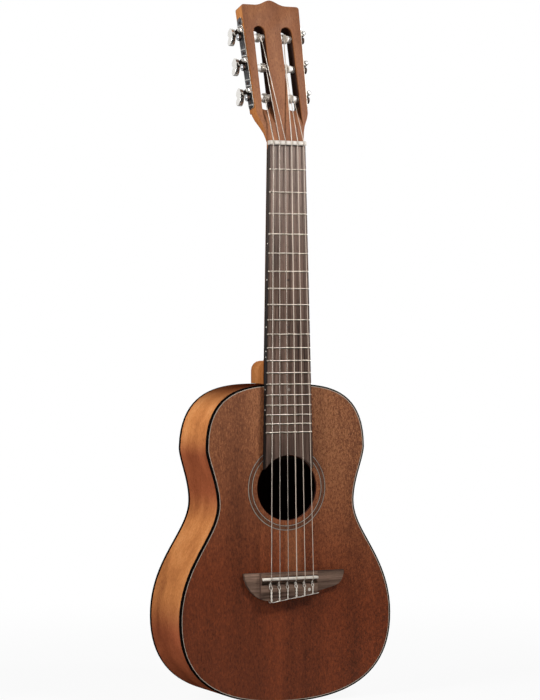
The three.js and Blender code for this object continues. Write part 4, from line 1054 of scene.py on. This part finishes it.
def gearWheel():
    root = machine["pitchRadius"] - machine["dedendum"]
    tall = machine["addendum"] + machine["dedendum"]
    bm = bmesh.new()
    bmesh.ops.create_cone(bm, cap_ends=True, segments=2 * machine["teeth"], radius1=root, radius2=root,
                          depth=machine["gearWidth"])
    rotated(bm, pi / 2, "Y")
    bm.normal_update()
    first = pi / machine["teeth"]  # a gap between two teeth faces the worm
    flanks = []
    for face in [f for f in bm.faces if abs(f.normal.x) < 0.5]:
        angle = atan2(-face.normal.y, face.normal.z) - first
        if abs((angle / (2 * first) + 0.5) % 1 - 0.5) < 0.2:
            flanks.append(face)
    for face in bmesh.ops.extrude_discrete_faces(bm, faces=flanks)["faces"]:
        middle, outward = face.calc_center_median(), face.normal.copy()
        outward.x = 0
        for vert in face.verts:
            spoke = vert.co - middle
            spoke.y, spoke.z = spoke.y * machine["toothTip"], spoke.z * machine["toothTip"]
            vert.co = middle + spoke + outward.normalized() * tall
    rounded(bm, sharpEdges(bm, 30), machine["toothRound"], 1)
    outwards(bm)
    bm.normal_update()
    # painted shade: the teeth take the dark steel, the wheel's faces the chrome
    for face in bm.faces:
        face.material_index = 1 if abs(face.normal.x) < 0.9 else 2
    return bm


def buildRoller(k):
    sign, row = seat(k)
    tip = -(head["middle"][0] - head["innerWall"] + machine["tip"])
    gap, outer = machine["plateIn"], machine["wormOut"] + machine["gearWidth"] / 2
    radius, (innerEdge, outerEdge) = head["roller"], machine["drumRound"]
    whole = bmesh.new()
    drum = turned([(tip, 0), (tip, radius - innerEdge), (tip + innerEdge, radius), (-gap - outerEdge, radius),
                   (-gap, radius - outerEdge), (-gap, 0)], 40)
    post = turned([(-gap / 2, 0), (-gap / 2, machine["neck"]), (outer, machine["neck"]), (outer, 0)])
    screwHead(post, machine["wheelScrew"], machine["screwHigh"], (outer, 0, 0))
    joinInto(whole, drum, 0)
    joinInto(whole, moved(gearWheel(), (machine["wormOut"], 0, 0)))
    joinInto(whole, post, 2)
    toSide(whole, sign, row)
    node = "roller_%d" % k
    piece(node + "_post", whole, [rollerWhite, gearSteel, chrome], body=node, stands=[node])


def wormThread():
    pitch, steps = machine["toothPitch"], machine["threadSteps"]
    inner = (machine["wormRadius"] - machine["dedendum"]) * machine["threadRoot"]
    tip = machine["wormRadius"] + machine["addendum"]
    start = -machine["turns"] * pitch / 2
    foot, crest = machine["thread"]
    corners = [(0, start + share * pitch, radius)
               for share, radius in ((-foot, inner), (-crest, tip), (crest, tip), (foot, inner))]
    bm = spun(bmesh.new(), corners, (0, 1, 0), steps, closed=True, turns=machine["turns"],
              climb=(0, pitch / steps, 0))
    closeHoles(bm)
    return outwards(bm)


def buttonHead():
    size = machine["button"]
    wide, long, neck = size["half"], size["long"], size["neck"]
    right = [((neck, 0), (neck * 0.4, 0), (neck, 0.1 * long)),
             ((wide, 0.45 * long), (wide * 0.86, 0.12 * long), (wide * 1.0, 0.72 * long)),
             ((wide * 0.46, long), (wide * 0.82, long), (neck * 0.9, long)),
             ((0, long - size["dip"]), (neck * 0.4, long - size["dip"]), (-neck * 0.4, long - size["dip"]))]
    left = [tuple((-w, y) for w, y in (place, after, before)) for place, before, after in right[2::-1]]
    knots = [tuple((0, y, w) for w, y in knot) for knot in right + left]
    bm = moved(traced(knots, 8), (-size["thick"] / 2, 0, 0))
    pushed(bm, (size["thick"], 0, 0))
    outwards(bm)
    rounded(bm, sharpEdges(bm, 50), size["round"], 4)
    return bm


def buildButton(k):
    sign, row = seat(k)
    cap = bmesh.new()
    shaft, core, lip = machine["shaft"], machine["wormRadius"] - machine["dedendum"], machine["collarRound"]
    back = machine["lugIn"] + machine["lug"] + machine["plateIn"]
    thread = (machine["turns"] + 1) * machine["toothPitch"] / 2
    collar, end = machine["collar"], back + machine["collarLong"]
    bm = turned([(-back, 0), (-back, shaft), (-thread, shaft), (-thread, core), (thread, core),
                 (thread, shaft), (back, shaft), (back, collar - lip), (back + lip, collar), (end, collar),
                 (end + machine["collarTip"][0], collar * machine["collarTaper"]),
                 (end + machine["collarTip"][1], 0)])
    screwHead(cap, machine["screw"], machine["screwHigh"], (back, 0, 0))
    joinInto(bm, rotated(cap, pi, "Z"), 1)
    outwards(rotated(bm, pi / 2, "Z"))
    joinInto(bm, wormThread())
    joinInto(bm, moved(rotated(buttonHead(), -sign * machine["lean"], "Y"), (0, end, 0)), 1)
    moved(bm, (sign * machine["wormOut"], 0, (row - 1) * head["pitch"] + machine["wormUp"]))
    bmesh.ops.transform(bm, matrix=machineFrame(sign), verts=bm.verts)
    node = "button_%d" % k
    piece(node + "_knob", bm, [gearSteel, buttonNickel], body=node, stands=[node])


buildPlate("bass", -1)
buildPlate("treble", 1)
for k in range(1, 7):
    buildRoller(k)
    buildButton(k)
print("tuning machines made")


# Stage, lamps and camera
stage = {"floorGap": 0.0004, "floorSize": 12.0, "floorTone": (0.55, 0.55, 0.55), "shadowShare": 0.07,
         "fade": (0.25, 1.1)}


def buildStage():
    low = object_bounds()[0][2] - stage["floorGap"]
    bm = bmesh.new()
    bmesh.ops.create_grid(bm, x_segments=4, y_segments=4, size=stage["floorSize"])
    mesh = bpy.data.meshes.new("floor")
    bm.to_mesh(mesh)
    bm.free()
    floor = bpy.data.objects.new("floor", mesh)
    floor.location.z = low
    bpy.context.scene.collection.objects.link(floor)
    look = Look("paper")
    look.shade(Base_Color=stage["floorTone"], Roughness=0.9)
    rays = look.tree.nodes.new("ShaderNodeLightPath")
    seen = Wire(look, rays.outputs["Is Camera Ray"])
    glow = look.node("ShaderNodeEmission", {}, Color=(1, 1, 1), Strength=1.0)
    away = look.node("ShaderNodeVectorMath", {"operation": "LENGTH"}, look.place(), out=1)
    paper = away.between(*stage["fade"], 1 - stage["shadowShare"], 1)
    mixed = look.node("ShaderNodeMixShader", {}, seen * paper, Wire(look, look.shader.outputs[0]), glow)
    look.tree.links.new(mixed.socket, look.tree.nodes["Material Output"].inputs[0])
    mesh.materials.append(look.material)


light = {
    "world": 0.05, "room": 0.4, "roomTo": (-0.2, 0.5),
    "key": {"at": (-1.0, -0.24, 0.2), "aim": (0, 0, -0.2), "size": 0.5, "watts": 3.3, "spread": 80},
    "fill": {"at": (0.34, -0.5, 0.3), "aim": (0, 0, -0.1), "size": 0.15, "watts": 2.6, "spread": 120},
    "rim": {"at": (0.6, 1.1, 0.4), "aim": (0, 0, -0.25), "size": 0.8, "watts": 2.0, "spread": 140},
}


def buildWorld():  # white for the camera, glass and reflections from behind, dimmer for those from the front
    bpy.context.scene.world = bpy.data.worlds.new("studio")
    sky = Look("studio", bpy.context.scene.world)
    rays = sky.tree.nodes.new("ShaderNodeLightPath")
    seen, shiny, through = [Wire(sky, rays.outputs["Is %s Ray" % kind]) for kind in
                            ("Camera", "Glossy", "Transmission")]
    way = sky.axis(sky.node("ShaderNodeTexCoord", {}, out=0), 1)
    white = way.between(*light["roomTo"], light["room"], 1.0)
    strength = seen.sums("MAXIMUM", through).sums("MAXIMUM", shiny * white).atLeast(light["world"])
    sky.shade(Color=(1, 1, 1), Strength=strength)


def buildLights():
    for name in ("key", "fill", "rim"):
        lamp = bpy.data.lights.new(name, "AREA")
        lamp.shape = "SQUARE"
        lamp.size = light[name]["size"]
        lamp.energy = light[name]["watts"]
        lamp.spread = radians(light[name]["spread"])
        holder = bpy.data.objects.new(name, lamp)
        holder.location = light[name]["at"]
        way = Vector(light[name]["aim"]) - holder.location
        holder.rotation_euler = way.to_track_quat("-Z", "Y").to_euler()
        bpy.context.scene.collection.objects.link(holder)


# The photograph's view: a long lens level with the guitar's middle, turned to the bass side
view = {"turn": radians(-24.84), "roll": radians(-0.27), "target": (-0.02071, 0.00017, -0.20574),
        "distance": 2.4074, "focalPixels": 2402.4, "imageHeight": 700, "sensor": 36.0}


def buildCamera():
    lens = bpy.data.cameras.new("camera")
    lens.lens = view["focalPixels"] / view["imageHeight"] * view["sensor"]
    lens.sensor_width = view["sensor"]
    lens.clip_start = 0.01
    back = Vector((sin(view["turn"]), -cos(view["turn"]), 0))
    across = Vector((cos(view["turn"]), sin(view["turn"]), 0))
    right = across * cos(view["roll"]) + Vector((0, 0, sin(view["roll"])))
    up = back.cross(right)
    camera = bpy.data.objects.new("camera", lens)
    camera.matrix_world = Matrix.Translation(Vector(view["target"]) + back * view["distance"]) @ Matrix(
        (right, up, back)).transposed().to_4x4()
    bpy.context.scene.collection.objects.link(camera)
    bpy.context.scene.camera = camera


buildCamera()
buildWorld()
buildLights()
buildStage()
bpy.context.scene.view_settings.view_transform = "Standard"
print("stage, lamps and camera made")
